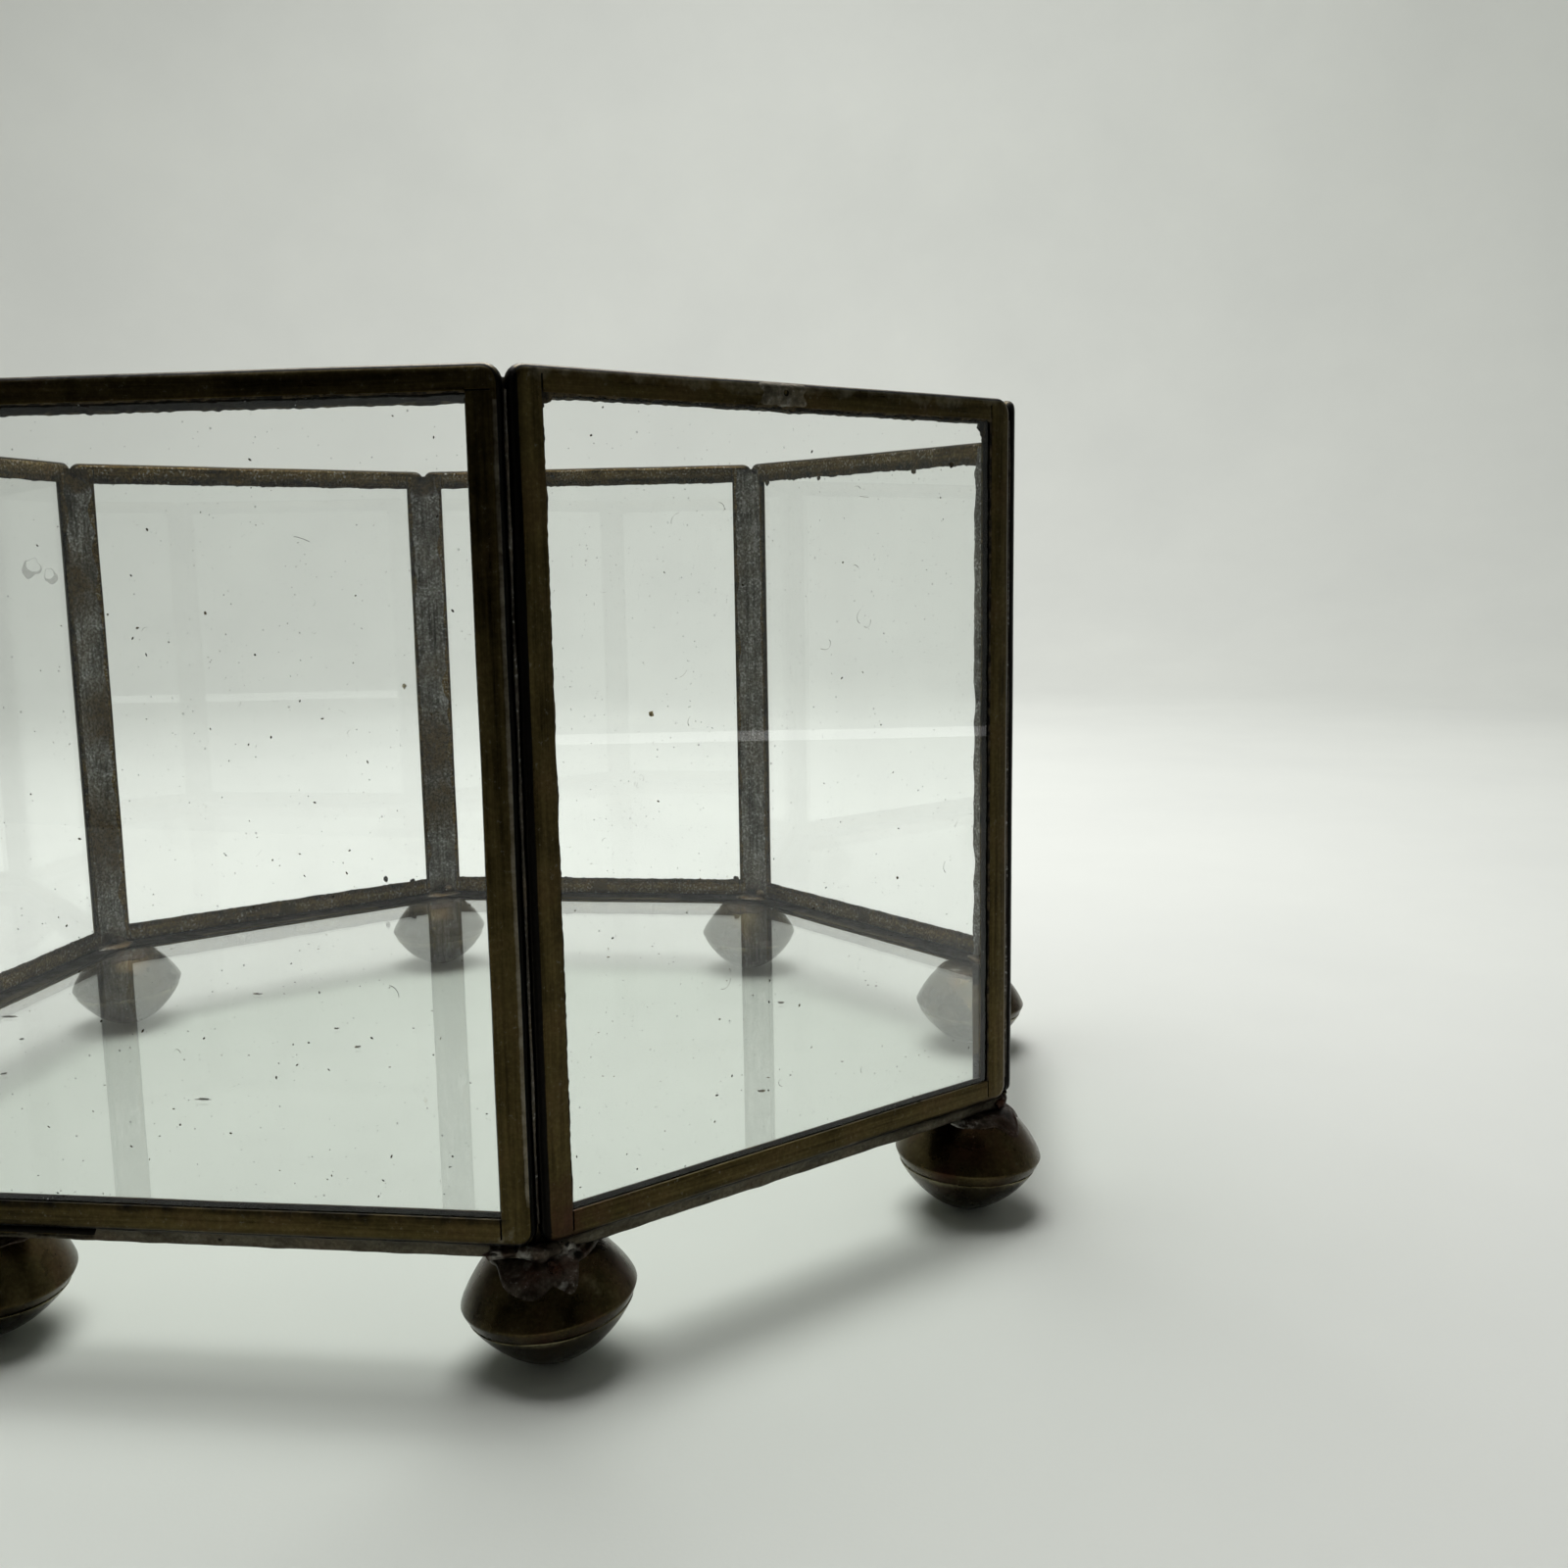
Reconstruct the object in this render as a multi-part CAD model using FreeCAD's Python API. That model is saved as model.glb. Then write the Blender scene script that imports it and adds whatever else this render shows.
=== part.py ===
import FreeCAD, Part
import math
import os

from FreeCAD import Vector

# Open glass vessel with eight flat walls, a glass floor and eight hollow bead feet.
# Each pane is wrapped by its own brass channel, and solder joins the channels.
# The origin is on the table under the middle, +Z is up and wall 1 faces -Y.
# Walls, corners and feet are numbered counter-clockwise, seen from above.
# Corner n stands between wall n and wall n + 1. All lengths are in millimetres.

# Walls
wall_count = 8
frame_width = 58.1
frame_height = 75.65
frame_gap = 0.1

# Brass channel round a wall pane, with its inner flange wider than its outer one
leg_outer_depth = 2.9
leg_inner_depth = 3.3
rail_outer_depth = 2.45
rail_inner_depth = 2.9
channel_thickness = 1.7
channel_back = 0.6
channel_flange = 0.25
channel_back_radius = 0.8
channel_bend_radius = 1.6
channel_end_gap = 0.3

# Brass channel round the floor pane
floor_channel_depth = 3.6
floor_channel_thickness = 1.5
floor_channel_back = 0.6
floor_channel_flange = 0.2
floor_channel_back_radius = 0.6
floor_recess = 0.9

# Room for the glass inside every channel
glass_face_clearance = 0.05
glass_edge_clearance = 0.3

# Bead feet, each two pressed half shells that meet at a sharp middle
foot_radius = 8.1
foot_half_height = 6.5
foot_shell = 0.5
foot_rest_radius = 1.2
foot_crown_rise = 4.35
foot_inset = 4.1
foot_round_shares = ((1.0, 0.0), (0.9, 0.25), (0.74, 0.51), (0.5, 0.785))

# Solder between a foot and the floor channel
foot_solder_height = 0.5
foot_solder_top_radius = 4.6

# Solder strips down the inner corners
corner_solder_reach = 2.7
corner_solder_thickness = 0.35
corner_solder_flat = 1.1
corner_solder_top_drop = 0.9

# Solder line in the outer groove of each corner
groove_solder_width = 0.26
groove_solder_depth = 0.5
groove_solder_inset = 0.02
groove_solder_end = 2.4

# Solder under the lower edge of each wall
base_solder_end = 3.0
base_solder_drop = 0.8
base_solder_in = 0.25
base_solder_lip = 0.5

# Solder over the butt joint of each wall channel
seam_solder_width = 3.2
seam_solder_thickness = 0.12
walls_with_top_seam = ("wall_frame_2",)

tolerance = 1e-6

full_turn = 360
half_turn = math.pi / wall_count
slope = math.tan(half_turn)
half_channel = channel_thickness / 2

# Room that two rounded backs need at a corner, beyond the corner of the mid planes
back_flat = half_channel - channel_back_radius
back_swell = channel_back_radius * (1 / math.cos(half_turn) - 1)
corner_relief = back_flat * slope + back_swell

mid_apothem = (frame_width / 2 + corner_relief + frame_gap / 2) / slope
inner_apothem = mid_apothem - half_channel
floor_apothem = mid_apothem + half_channel - floor_recess
foot_circle_radius = floor_apothem / math.cos(half_turn) - foot_inset

crown_height = foot_half_height + foot_crown_rise
floor_bottom = crown_height + foot_solder_height
wall_bottom = floor_bottom + floor_channel_thickness
wall_top = wall_bottom + frame_height


def turned(shape, number, offset_steps=0.0):
    """Copy of a shape made at wall 1, moved round to another wall."""
    copy = shape.copy()
    angle = (number - 1 + offset_steps) * full_turn / wall_count
    copy.rotate(Vector(0, 0, 0), Vector(0, 0, 1), angle)
    return copy


def centred_box(width, depth, height, y, z):
    """Box with its middle on X = 0 and Y = y, standing on Z = z."""
    return Part.makeBox(width, depth, height, Vector(-width / 2, y - depth / 2, z))


def octagon_prism(apothem, height, z):
    """Upright prism with one flat side for each wall."""
    radius = apothem / math.cos(half_turn)
    points = []
    for step in range(wall_count + 1):
        angle = -math.pi / 2 + (2 * step + 1) * half_turn
        points.append(Vector(radius * math.cos(angle), radius * math.sin(angle), z))
    face = Part.Face(Part.makePolygon(points))
    return face.extrude(Vector(0, 0, height))


def is_along(edge, axis):
    """True for a straight edge that runs along an axis."""
    if not isinstance(edge.Curve, Part.Line):
        return False
    return abs(abs(edge.Curve.Direction.dot(axis)) - 1) < tolerance


def bent_plate():
    """Outer form of a wall channel, with bent corners and a rounded back."""
    plate = centred_box(frame_width, channel_thickness, frame_height, -mid_apothem, wall_bottom)
    across = Vector(0, 1, 0)
    corners = [edge for edge in plate.Edges if is_along(edge, across)]
    plate = plate.makeFillet(channel_bend_radius, corners)
    rims = [edge for edge in plate.Edges if not is_along(edge, across)]
    return plate.makeFillet(channel_back_radius, rims)


def wall_window(leg_depth, rail_depth, side):
    """Opening that one flange of a wall channel leaves over its pane."""
    width = frame_width - 2 * leg_depth
    height = frame_height - 2 * rail_depth
    y = -mid_apothem + side * half_channel
    return centred_box(width, channel_thickness, height, y, wall_bottom + rail_depth)


def wall_pocket():
    """Slot inside a wall channel that holds the edge of the pane."""
    width = frame_width - 2 * channel_back
    height = frame_height - 2 * channel_back
    depth = channel_thickness - 2 * channel_flange
    return centred_box(width, depth, height, -mid_apothem, wall_bottom + channel_back)


def has_top_seam(number):
    """True where a wall channel is joined in its top rail, not in its bottom rail."""
    return f"wall_frame_{number}" in walls_with_top_seam


def rail_bottom(number, depth):
    """Lower end of a band of the rail with the butt joint, as deep as one flange."""
    if has_top_seam(number):
        return wall_top - depth
    return wall_bottom


def butt_gap(number):
    """Gap between the two ends of a wall channel, in the middle of one rail."""
    depth = rail_inner_depth
    bottom = rail_bottom(number, depth)
    return centred_box(channel_end_gap, 2 * channel_thickness, depth, -mid_apothem, bottom)


def closed_wall_frame():
    """Wall channel before its butt joint is cut."""
    plate = bent_plate().cut(wall_window(leg_outer_depth, rail_outer_depth, -1))
    plate = plate.cut(wall_window(leg_inner_depth, rail_inner_depth, 1))
    return plate.cut(wall_pocket())


def wall_pane():
    """Glass of one wall."""
    edge = channel_back + glass_edge_clearance
    width = frame_width - 2 * edge
    height = frame_height - 2 * edge
    depth = channel_thickness - 2 * (channel_flange + glass_face_clearance)
    return centred_box(width, depth, height, -mid_apothem, wall_bottom + edge)


def seam_solder(frame, number):
    """Solder that fills a butt joint and laps over both faces of the channel."""
    fill = frame.common(butt_gap(number))
    laps = []
    for side, depth in ((-1, rail_outer_depth), (1, rail_inner_depth)):
        y = -mid_apothem + side * (half_channel + seam_solder_thickness / 2)
        height = depth - channel_back_radius
        bottom = rail_bottom(number, depth)
        if not has_top_seam(number):
            bottom += channel_back_radius
        laps.append(centred_box(seam_solder_width, seam_solder_thickness, height, y, bottom))
    return fill.fuse(laps).removeSplitter()


def floor_frame():
    """Brass channel bent round the floor pane."""
    outer = octagon_prism(floor_apothem, floor_channel_thickness, floor_bottom)
    upright = Vector(0, 0, 1)
    rims = [edge for edge in outer.Edges if not is_along(edge, upright)]
    outer = outer.makeFillet(floor_channel_back_radius, rims)
    window = octagon_prism(
        floor_apothem - floor_channel_depth,
        3 * floor_channel_thickness,
        floor_bottom - floor_channel_thickness,
    )
    pocket = octagon_prism(
        floor_apothem - floor_channel_back,
        floor_channel_thickness - 2 * floor_channel_flange,
        floor_bottom + floor_channel_flange,
    )
    return outer.cut(window).cut(pocket)


def floor_pane():
    """Glass floor."""
    edge = floor_channel_back + glass_edge_clearance
    face = floor_channel_flange + glass_face_clearance
    return octagon_prism(
        floor_apothem - edge, floor_channel_thickness - 2 * face, floor_bottom + face
    )


def half_shell_curve(radius, rise, rest_radius):
    """Side of a half shell, from its sharp rim down to the small flat it rests on."""
    points = []
    for out_share, down_share in foot_round_shares:
        points.append(Vector(radius * out_share, 0, foot_half_height - rise * down_share))
    points.append(Vector(rest_radius, 0, foot_half_height - rise))
    curve = Part.BSplineCurve()
    curve.interpolate(points)
    return curve.toShape()


def lower_shell():
    """Lower half of a bead foot, round the Z axis."""
    inner_radius = foot_radius - foot_shell
    inner_rise = foot_half_height - foot_shell
    outer_curve = half_shell_curve(foot_radius, foot_half_height, foot_rest_radius)
    inner_curve = half_shell_curve(inner_radius, inner_rise, foot_rest_radius)
    rim = Part.makeLine(
        Vector(inner_radius, 0, foot_half_height), Vector(foot_radius, 0, foot_half_height)
    )
    base = Part.makeLine(Vector(foot_rest_radius, 0, 0), Vector(0, 0, 0))
    axis = Part.makeLine(Vector(0, 0, 0), Vector(0, 0, foot_shell))
    top = Part.makeLine(Vector(0, 0, foot_shell), Vector(foot_rest_radius, 0, foot_shell))
    edges = Part.sortEdges([rim, outer_curve, base, axis, top, inner_curve])[0]
    face = Part.Face(Part.Wire(edges))
    return face.revolve(Vector(0, 0, 0), Vector(0, 0, 1), full_turn)


def upper_shell(lower):
    """Upper half of a bead foot: the lower half mirrored, with its crown cut level."""
    shell = lower.mirror(Vector(0, 0, foot_half_height), Vector(0, 0, 1))
    above = Part.makeBox(
        4 * foot_radius,
        4 * foot_radius,
        2 * foot_half_height,
        Vector(-2 * foot_radius, -2 * foot_radius, crown_height),
    )
    return shell.cut(above)


def crown_radius(shell):
    """Outer radius of the level crown of an upper shell."""
    rim = [edge for edge in shell.Edges if abs(edge.BoundBox.ZMin - crown_height) < tolerance]
    return max(edge.BoundBox.XMax for edge in rim)


def foot_solder(crown):
    """Low cone of solder between a foot's crown and the floor channel."""
    return Part.makeCone(
        crown, foot_solder_top_radius, foot_solder_height, Vector(0, 0, crown_height)
    )


def at_corner(shape, number):
    """Copy of a shape made round the Z axis, moved under a corner."""
    copy = shape.copy()
    copy.translate(Vector(0, -foot_circle_radius, 0))
    return turned(copy, number, 0.5)


def corner_solder():
    """Strip in the inner corner between walls 1 and 2, bent to lie on both channels."""
    side = Vector(-math.cos(half_turn), math.sin(half_turn), 0)
    inward = Vector(math.sin(half_turn), math.cos(half_turn), 0)
    tip = Vector(0, -inner_apothem / math.cos(half_turn), wall_bottom)
    outer_end = side * corner_solder_reach
    inner_end = outer_end + inward * corner_solder_thickness
    flat_end = side * corner_solder_flat + inward * corner_solder_thickness
    left = [outer_end, inner_end, flat_end]
    right = [Vector(-point.x, point.y, 0) for point in reversed(left)]
    outline = [tip + point for point in left + right] + [tip, tip + outer_end]
    face = Part.Face(Part.makePolygon(outline))
    return face.extrude(Vector(0, 0, frame_height - corner_solder_top_drop))


def groove_solder():
    """Thin line of solder at the bottom of a corner's outer groove."""
    corner_radius = mid_apothem / math.cos(half_turn)
    return centred_box(
        groove_solder_width,
        groove_solder_depth,
        frame_height - 2 * groove_solder_end,
        -corner_radius + groove_solder_inset - groove_solder_depth / 2,
        wall_bottom + groove_solder_end,
    )


def base_solder(frame, ring):
    """Solder in the step between a wall's lower edge and the floor channel."""
    inside = -floor_apothem + base_solder_in
    outside = -floor_apothem - base_solder_lip
    foot = -floor_apothem - base_solder_in
    section = [
        Vector(0, inside, wall_bottom - base_solder_in),
        Vector(0, inside, wall_bottom + base_solder_in),
        Vector(0, outside, wall_bottom + base_solder_in),
        Vector(0, foot, wall_bottom - base_solder_drop),
        Vector(0, -floor_apothem, wall_bottom - base_solder_drop),
    ]
    length = frame_width - 2 * base_solder_end
    for point in section:
        point.x = -length / 2
    face = Part.Face(Part.makePolygon(section + [section[0]]))
    return face.extrude(Vector(length, 0, 0)).cut(frame).cut(ring)


def save(name, shape):
    """Write one piece to its own file."""
    shape.exportStep("parts/" + name + ".step")
    print(name, len(shape.Solids), "solid", round(shape.Volume, 1), "mm3")


def main():
    os.makedirs("parts", exist_ok=True)

    frame = closed_wall_frame()
    pane = wall_pane()
    seams = []
    for number in range(1, wall_count + 1):
        save(f"wall_frame_{number}", turned(frame.cut(butt_gap(number)), number))
        save(f"wall_pane_{number}", turned(pane, number))
        seams.append(turned(seam_solder(frame, number), number))
    save("frame_seam_solder", Part.makeCompound(seams))

    ring = floor_frame()
    save("floor_frame", ring)
    save("floor_pane", floor_pane())

    lower = lower_shell()
    upper = upper_shell(lower)
    pad = foot_solder(crown_radius(upper))
    strip = corner_solder()
    for number in range(1, wall_count + 1):
        save(f"foot_lower_shell_{number}", at_corner(lower, number))
        save(f"foot_upper_shell_{number}", at_corner(upper, number))
        save(f"foot_solder_{number}", at_corner(pad, number))
        save(f"corner_solder_{number}", turned(strip, number, 0.5))

    line = groove_solder()
    base = base_solder(frame, ring)
    numbers = range(1, wall_count + 1)
    save("groove_solder", Part.makeCompound([turned(line, number, 0.5) for number in numbers]))
    save("base_solder", Part.makeCompound([turned(base, number) for number in numbers]))


main()
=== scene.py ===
import math
import random

import bmesh
import bpy
from mathutils import Matrix, Vector, noise


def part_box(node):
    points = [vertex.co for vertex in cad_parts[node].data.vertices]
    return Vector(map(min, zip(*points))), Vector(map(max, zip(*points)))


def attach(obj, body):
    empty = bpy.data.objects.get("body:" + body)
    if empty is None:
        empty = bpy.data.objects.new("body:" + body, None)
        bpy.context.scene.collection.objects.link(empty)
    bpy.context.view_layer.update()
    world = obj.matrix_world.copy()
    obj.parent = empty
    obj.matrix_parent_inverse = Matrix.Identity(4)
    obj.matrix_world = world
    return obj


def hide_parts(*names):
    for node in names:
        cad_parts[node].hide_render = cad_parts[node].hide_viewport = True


noise.seed_set(7)  # noise_vector starts from the clock without it

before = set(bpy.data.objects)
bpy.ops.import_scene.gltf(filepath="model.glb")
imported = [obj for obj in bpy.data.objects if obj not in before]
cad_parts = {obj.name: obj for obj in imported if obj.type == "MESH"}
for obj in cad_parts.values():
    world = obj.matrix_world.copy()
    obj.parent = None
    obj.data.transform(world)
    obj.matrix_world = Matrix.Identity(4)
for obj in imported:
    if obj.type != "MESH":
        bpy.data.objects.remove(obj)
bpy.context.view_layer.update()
print("frame loaded", len(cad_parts), "nodes")

wallCount = 8
wallStep = math.tau / wallCount
halfStep = wallStep / 2

wallLow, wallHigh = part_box("wall_frame_1")  # wall 1 faces -Y: its box is its width, thickness and height
wallSize = wallHigh - wallLow
halfX, halfY, halfZ = wallSize / 2
wallMiddle = (wallHigh + wallLow) / 2
wallInner, wallOuter = -wallHigh.y, -wallLow.y  # how far a wall's two faces are from the middle axis
paneFace = wallInner + 0.00145                  # the same for the outer face of a wall's pane
wallBottom, wallTop = wallLow.z, wallHigh.z
ringLow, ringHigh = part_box("floor_frame")
ringApothem = -ringLow.y
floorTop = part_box("floor_pane")[1].z
cosHalf, sinHalf = math.cos(halfStep), math.sin(halfStep)
paintKinds = ("grimeAndShade", "wornAndSheen", "rust")  # named values on the vertices that the metals read: grime with painted shade, wear with painted highlights, and rust


# small tools shared by the pieces


def turned(number, offset=0.0):  # from wall 1 round to another wall, or with 0.5 to the corner after it
    return Matrix.Rotation((number - 1 + offset) * wallStep, 4, "Z")


def rumble(x, y=0.0, z=0.0):  # one uneven value between -1 and 1
    return noise.noise(Vector((x, y, z)))


def wander(verts, amount, spacing, seed, share=Vector((1, 1, 1))):
    start = Vector((seed * 3.7, seed * 1.9, seed * 5.3))
    for vert in verts:
        vert.co += noise.noise_vector(vert.co / spacing + start) * share * amount


def limited(value, low, high):
    return max(low, min(high, value))


def cutAcross(bm, point, normal):
    everything = bm.verts[:] + bm.edges[:] + bm.faces[:]
    bmesh.ops.bisect_plane(bm, geom=everything, dist=1e-7, plane_co=point, plane_no=normal)


def smoothShade(bm, sharpAngle):
    for face in bm.faces:
        face.smooth = True
    for edge in bm.edges:
        if len(edge.link_faces) == 2 and edge.calc_face_angle(0) > math.radians(sharpAngle):
            edge.smooth = False


def sleeve(bm, around, along, skin):  # a closed run with the surface skin(a, t): a goes round, t along it
    grid = bmesh.ops.create_grid(bm, x_segments=around, y_segments=along, size=1)["verts"]
    for vert in grid:
        vert.co = skin((vert.co.x + 1) / 2, (vert.co.y + 1) / 2)
    bmesh.ops.remove_doubles(bm, verts=grid, dist=1e-7)
    bmesh.ops.holes_fill(bm, edges=[edge for edge in bm.edges if edge.is_boundary])


def lump(bm, middle, radii, seed, rough=0.25, fine=3):  # uneven drop of solder or crumb of dirt
    verts = bmesh.ops.create_icosphere(bm, subdivisions=fine, radius=1)["verts"]
    for vert in verts:
        swell = 1 + rough * noise.noise(vert.co * 1.3 + Vector((seed, seed * 2, 0)))
        swell += rough * 0.6 * noise.noise(vert.co * 3.1 + Vector((0, seed, seed * 3)))
        vert.co = Vector(middle) + Vector([c * r for c, r in zip(vert.co, radii)]) * swell
    return verts


def paint(bm, kind, spots):  # soft spots (point, radius, amount) kept as a named value for the material
    layer = bm.verts.layers.float.get(kind) or bm.verts.layers.float.new(kind)
    for vert in bm.verts:
        for point, radius, amount in spots:
            share = (vert.co - point).length / radius
            if share < 1:
                vert[layer] = max(vert[layer], amount * (1 - share * share))


def paintSpots(bm, spots, locate):  # spots (kind, point, radius, amount); locate sets a point in the scene
    for kind in paintKinds:
        paint(bm, kind, [
            (locate(point), radius, amount) for name, point, radius, amount in spots if name == kind
        ])


def spin(bm, steps):  # turns the whole line of vertices once round the Z axis
    bmesh.ops.spin(
        bm, geom=bm.verts[:] + bm.edges[:], cent=(0, 0, 0), axis=(0, 0, 1),
        angle=math.tau, steps=steps, use_merge=True
    )
    bmesh.ops.remove_doubles(bm, verts=bm.verts, dist=1e-6)


def drawLine(bm, points):
    line = [bm.verts.new(point) for point in points]
    for first, second in zip(line, line[1:]):
        bm.edges.new((first, second))


def roundEdges(bm, edges, radius, segments):
    bmesh.ops.bevel(
        bm, geom=edges, offset=radius, segments=segments, affect="EDGES", profile=0.5, material=-1
    )


def newObject(bm, name, materials):
    mesh = bpy.data.meshes.new(name)
    bm.to_mesh(mesh)
    bm.free()
    for material in materials:
        mesh.materials.append(material)
    made = bpy.data.objects.new(name, mesh)
    bpy.context.scene.collection.objects.link(made)
    return made


def addPiece(bm, name, materials, replaced=(), sharpAngle=60):
    bmesh.ops.recalc_face_normals(bm, faces=bm.faces)
    smoothShade(bm, sharpAngle)
    piece = newObject(bm, name, materials)
    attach(piece, "root")
    if replaced:
        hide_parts(*replaced)


# node helpers


def place(tree, kind, inputs=None, **settings):
    node = tree.nodes.new(kind)
    for name, value in settings.items():
        setattr(node, name, value)
    for socket, value in (inputs or {}).items():
        if isinstance(value, bpy.types.NodeSocket):
            tree.links.new(value, node.inputs[socket])
        else:
            node.inputs[socket].default_value = value
    return node


def mixColor(tree, factor, first, second, blend="MIX"):
    node = place(tree, "ShaderNodeMix", {0: factor, 6: first, 7: second}, data_type="RGBA", blend_type=blend)
    return node.outputs[2]


def reckon(tree, operation, first, second=0.0):
    node = place(tree, "ShaderNodeMath", {0: first, 1: second}, operation=operation)
    return node.outputs[0]


def ranged(tree, value, low, high, toLow=0.0, toHigh=1.0):
    node = place(tree, "ShaderNodeMapRange", {0: value, 1: low, 2: high, 3: toLow, 4: toHigh})
    return node.outputs[0]


def noiseAt(tree, vector, scale, detail=3.0, roughness=0.55):
    node = place(tree, "ShaderNodeTexNoise", {
        "Vector": vector, "Scale": scale, "Detail": detail, "Roughness": roughness,
    })
    return node.outputs[0]


def weighed(tree, first, firstShare, second, secondShare):
    parts = [reckon(tree, "MULTIPLY", first, firstShare), reckon(tree, "MULTIPLY", second, secondShare)]
    return reckon(tree, "ADD", *parts)


def newGroup(name, inputs, outputs):
    group = bpy.data.node_groups.new(name, "ShaderNodeTree")
    for direction, sockets in (("INPUT", inputs), ("OUTPUT", outputs)):
        for label, kind in sockets.items():
            group.interface.new_socket(name=label, in_out=direction, socket_type="NodeSocket" + kind)
    return group, group.nodes.new("NodeGroupInput").outputs, group.nodes.new("NodeGroupOutput").inputs


def placeGroup(tree, group, inputs):
    return place(tree, "ShaderNodeGroup", inputs, node_tree=group).outputs


def newMaterial(name):
    material = bpy.data.materials.new(name)
    material.use_nodes = True
    tree = material.node_tree
    tree.nodes.clear()
    return material, tree, tree.nodes.new("ShaderNodeTexCoord").outputs["Object"]


def showShader(tree, shader):
    place(tree, "ShaderNodeOutputMaterial", {"Surface": shader.outputs[0]})


metalSockets = {
    "coordinate": "Vector", "stretch": "Vector", "dark": "Color", "bright": "Color",
    "stain": "Color", "tin": "Color", "bloom": "Color", "stainAmount": "Float",
    "tinAmount": "Float", "bloomAmount": "Float", "grimeAndShade": "Float",
    "wornAndSheen": "Float", "rust": "Float", "smooth": "Float", "rough": "Float", "grain": "Float",
}
metalNoise = {
    "streak": 0.6, "cloud": 160.0, "blotch": 420.0, "grit": 2600.0,  # the streaks' share, the noises' scales
    # dirt is the dark colour that the grime value mixes in, so it also stands for painted shade
    "dirt": (0.008, 0.007, 0.006, 1), "grainShade": (0.30, 0.27, 0.23, 1),
}


def makeMetalGroup():
    # clouds, drawn streaks and pits over a metal, with stain and tin showing in patches
    group, start, end = newGroup(
        "agedMetal", metalSockets, {"color": "Color", "roughness": "Float", "height": "Float"}
    )
    point = start["coordinate"]
    drawn = place(group, "ShaderNodeVectorMath", {0: point, 1: start["stretch"]}, operation="MULTIPLY")
    streak = noiseAt(group, drawn.outputs[0], 1.0, 4.0, 0.6)
    cloud = noiseAt(group, point, metalNoise["cloud"], 4.0, 0.6)
    blotch = noiseAt(group, point, metalNoise["blotch"], 3.0, 0.65)
    grit = noiseAt(group, point, metalNoise["grit"], 2.0, 0.6)

    def painted(kind, share, low, high):  # where the painted value and the blotches together pass a limit
        return ranged(
            group, reckon(group, "ADD", start[kind], reckon(group, "MULTIPLY", blotch, share)), low, high
        )

    blend = weighed(group, streak, metalNoise["streak"], cloud, 1 - metalNoise["streak"])
    color = mixColor(group, ranged(group, blend, 0.36, 0.64), start["dark"], start["bright"])
    stainMask = reckon(group, "MULTIPLY", ranged(group, cloud, 0.5, 0.66), start["stainAmount"])
    color = mixColor(group, stainMask, color, start["stain"])
    tinNoise = weighed(group, blotch, 0.55, streak, 0.45)
    tinEdge = reckon(group, "SUBTRACT", 1.0, start["tinAmount"])
    tinMask = ranged(
        group, reckon(group, "SUBTRACT", tinNoise, reckon(group, "MULTIPLY", tinEdge, 0.75)), 0.0, 0.12
    )
    color = mixColor(group, tinMask, color, start["tin"])
    speck = reckon(group, "ADD", grit, reckon(group, "MULTIPLY", start["bloomAmount"], 0.07))
    bloomMask = reckon(group, "MULTIPLY", ranged(group, speck, 0.65, 0.72), ranged(group, blotch, 0.44, 0.56))
    bloomShare = reckon(group, "MINIMUM", reckon(group, "MULTIPLY", bloomMask, start["bloomAmount"]), 0.85)
    color = mixColor(group, bloomShare, color, start["bloom"])
    # painted values: rust stains, wear together with painted highlights, grime together with painted shade
    color = mixColor(group, painted("rust", 0.6, 0.5, 0.8), color, start["stain"])
    color = mixColor(group, painted("wornAndSheen", 0.6, 0.5, 0.8), color, start["tin"])
    color = mixColor(group, painted("grimeAndShade", 0.5, 0.55, 0.75), color, metalNoise["dirt"])
    grain = weighed(group, grit, 0.65, blotch, 0.35)
    dimmed = reckon(group, "MULTIPLY", ranged(group, grain, 0.56, 0.44), start["grain"])
    color = mixColor(group, dimmed, color, metalNoise["grainShade"], "MULTIPLY")
    rough = ranged(group, weighed(group, blotch, 0.5, streak, 0.5), 0.35, 0.65)
    rough = ranged(group, rough, 0.0, 1.0, start["smooth"], start["rough"])
    rough = reckon(group, "ADD", rough, reckon(group, "MULTIPLY", bloomMask, 0.3))
    height = reckon(
        group, "ADD", weighed(group, streak, 0.5, grit, 0.25), reckon(group, "MULTIPLY", tinMask, 0.35)
    )
    for label, value in (("color", color), ("roughness", rough), ("height", height)):
        group.links.new(value, end[label])
    return group


agedMetal = makeMetalGroup()


def makeMetal(name, look):
    material, tree, coordinate = newMaterial(name)
    inputs = {label: look[label] for label in metalSockets if label in look}
    inputs["coordinate"] = coordinate
    for kind in paintKinds:
        inputs[kind] = place(tree, "ShaderNodeAttribute", attribute_name=kind).outputs["Fac"]
    metal = placeGroup(tree, agedMetal, inputs)
    bump = place(tree, "ShaderNodeBump", {
        "Strength": look["bumpStrength"], "Distance": look["bumpDistance"], "Height": metal["height"],
    })
    showShader(tree, place(tree, "ShaderNodeBsdfPrincipled", {
        "Base Color": metal["color"], "Roughness": metal["roughness"],
        "Metallic": 1.0, "Normal": bump.outputs[0],
    }))
    return material


# stage, light and camera


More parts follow.
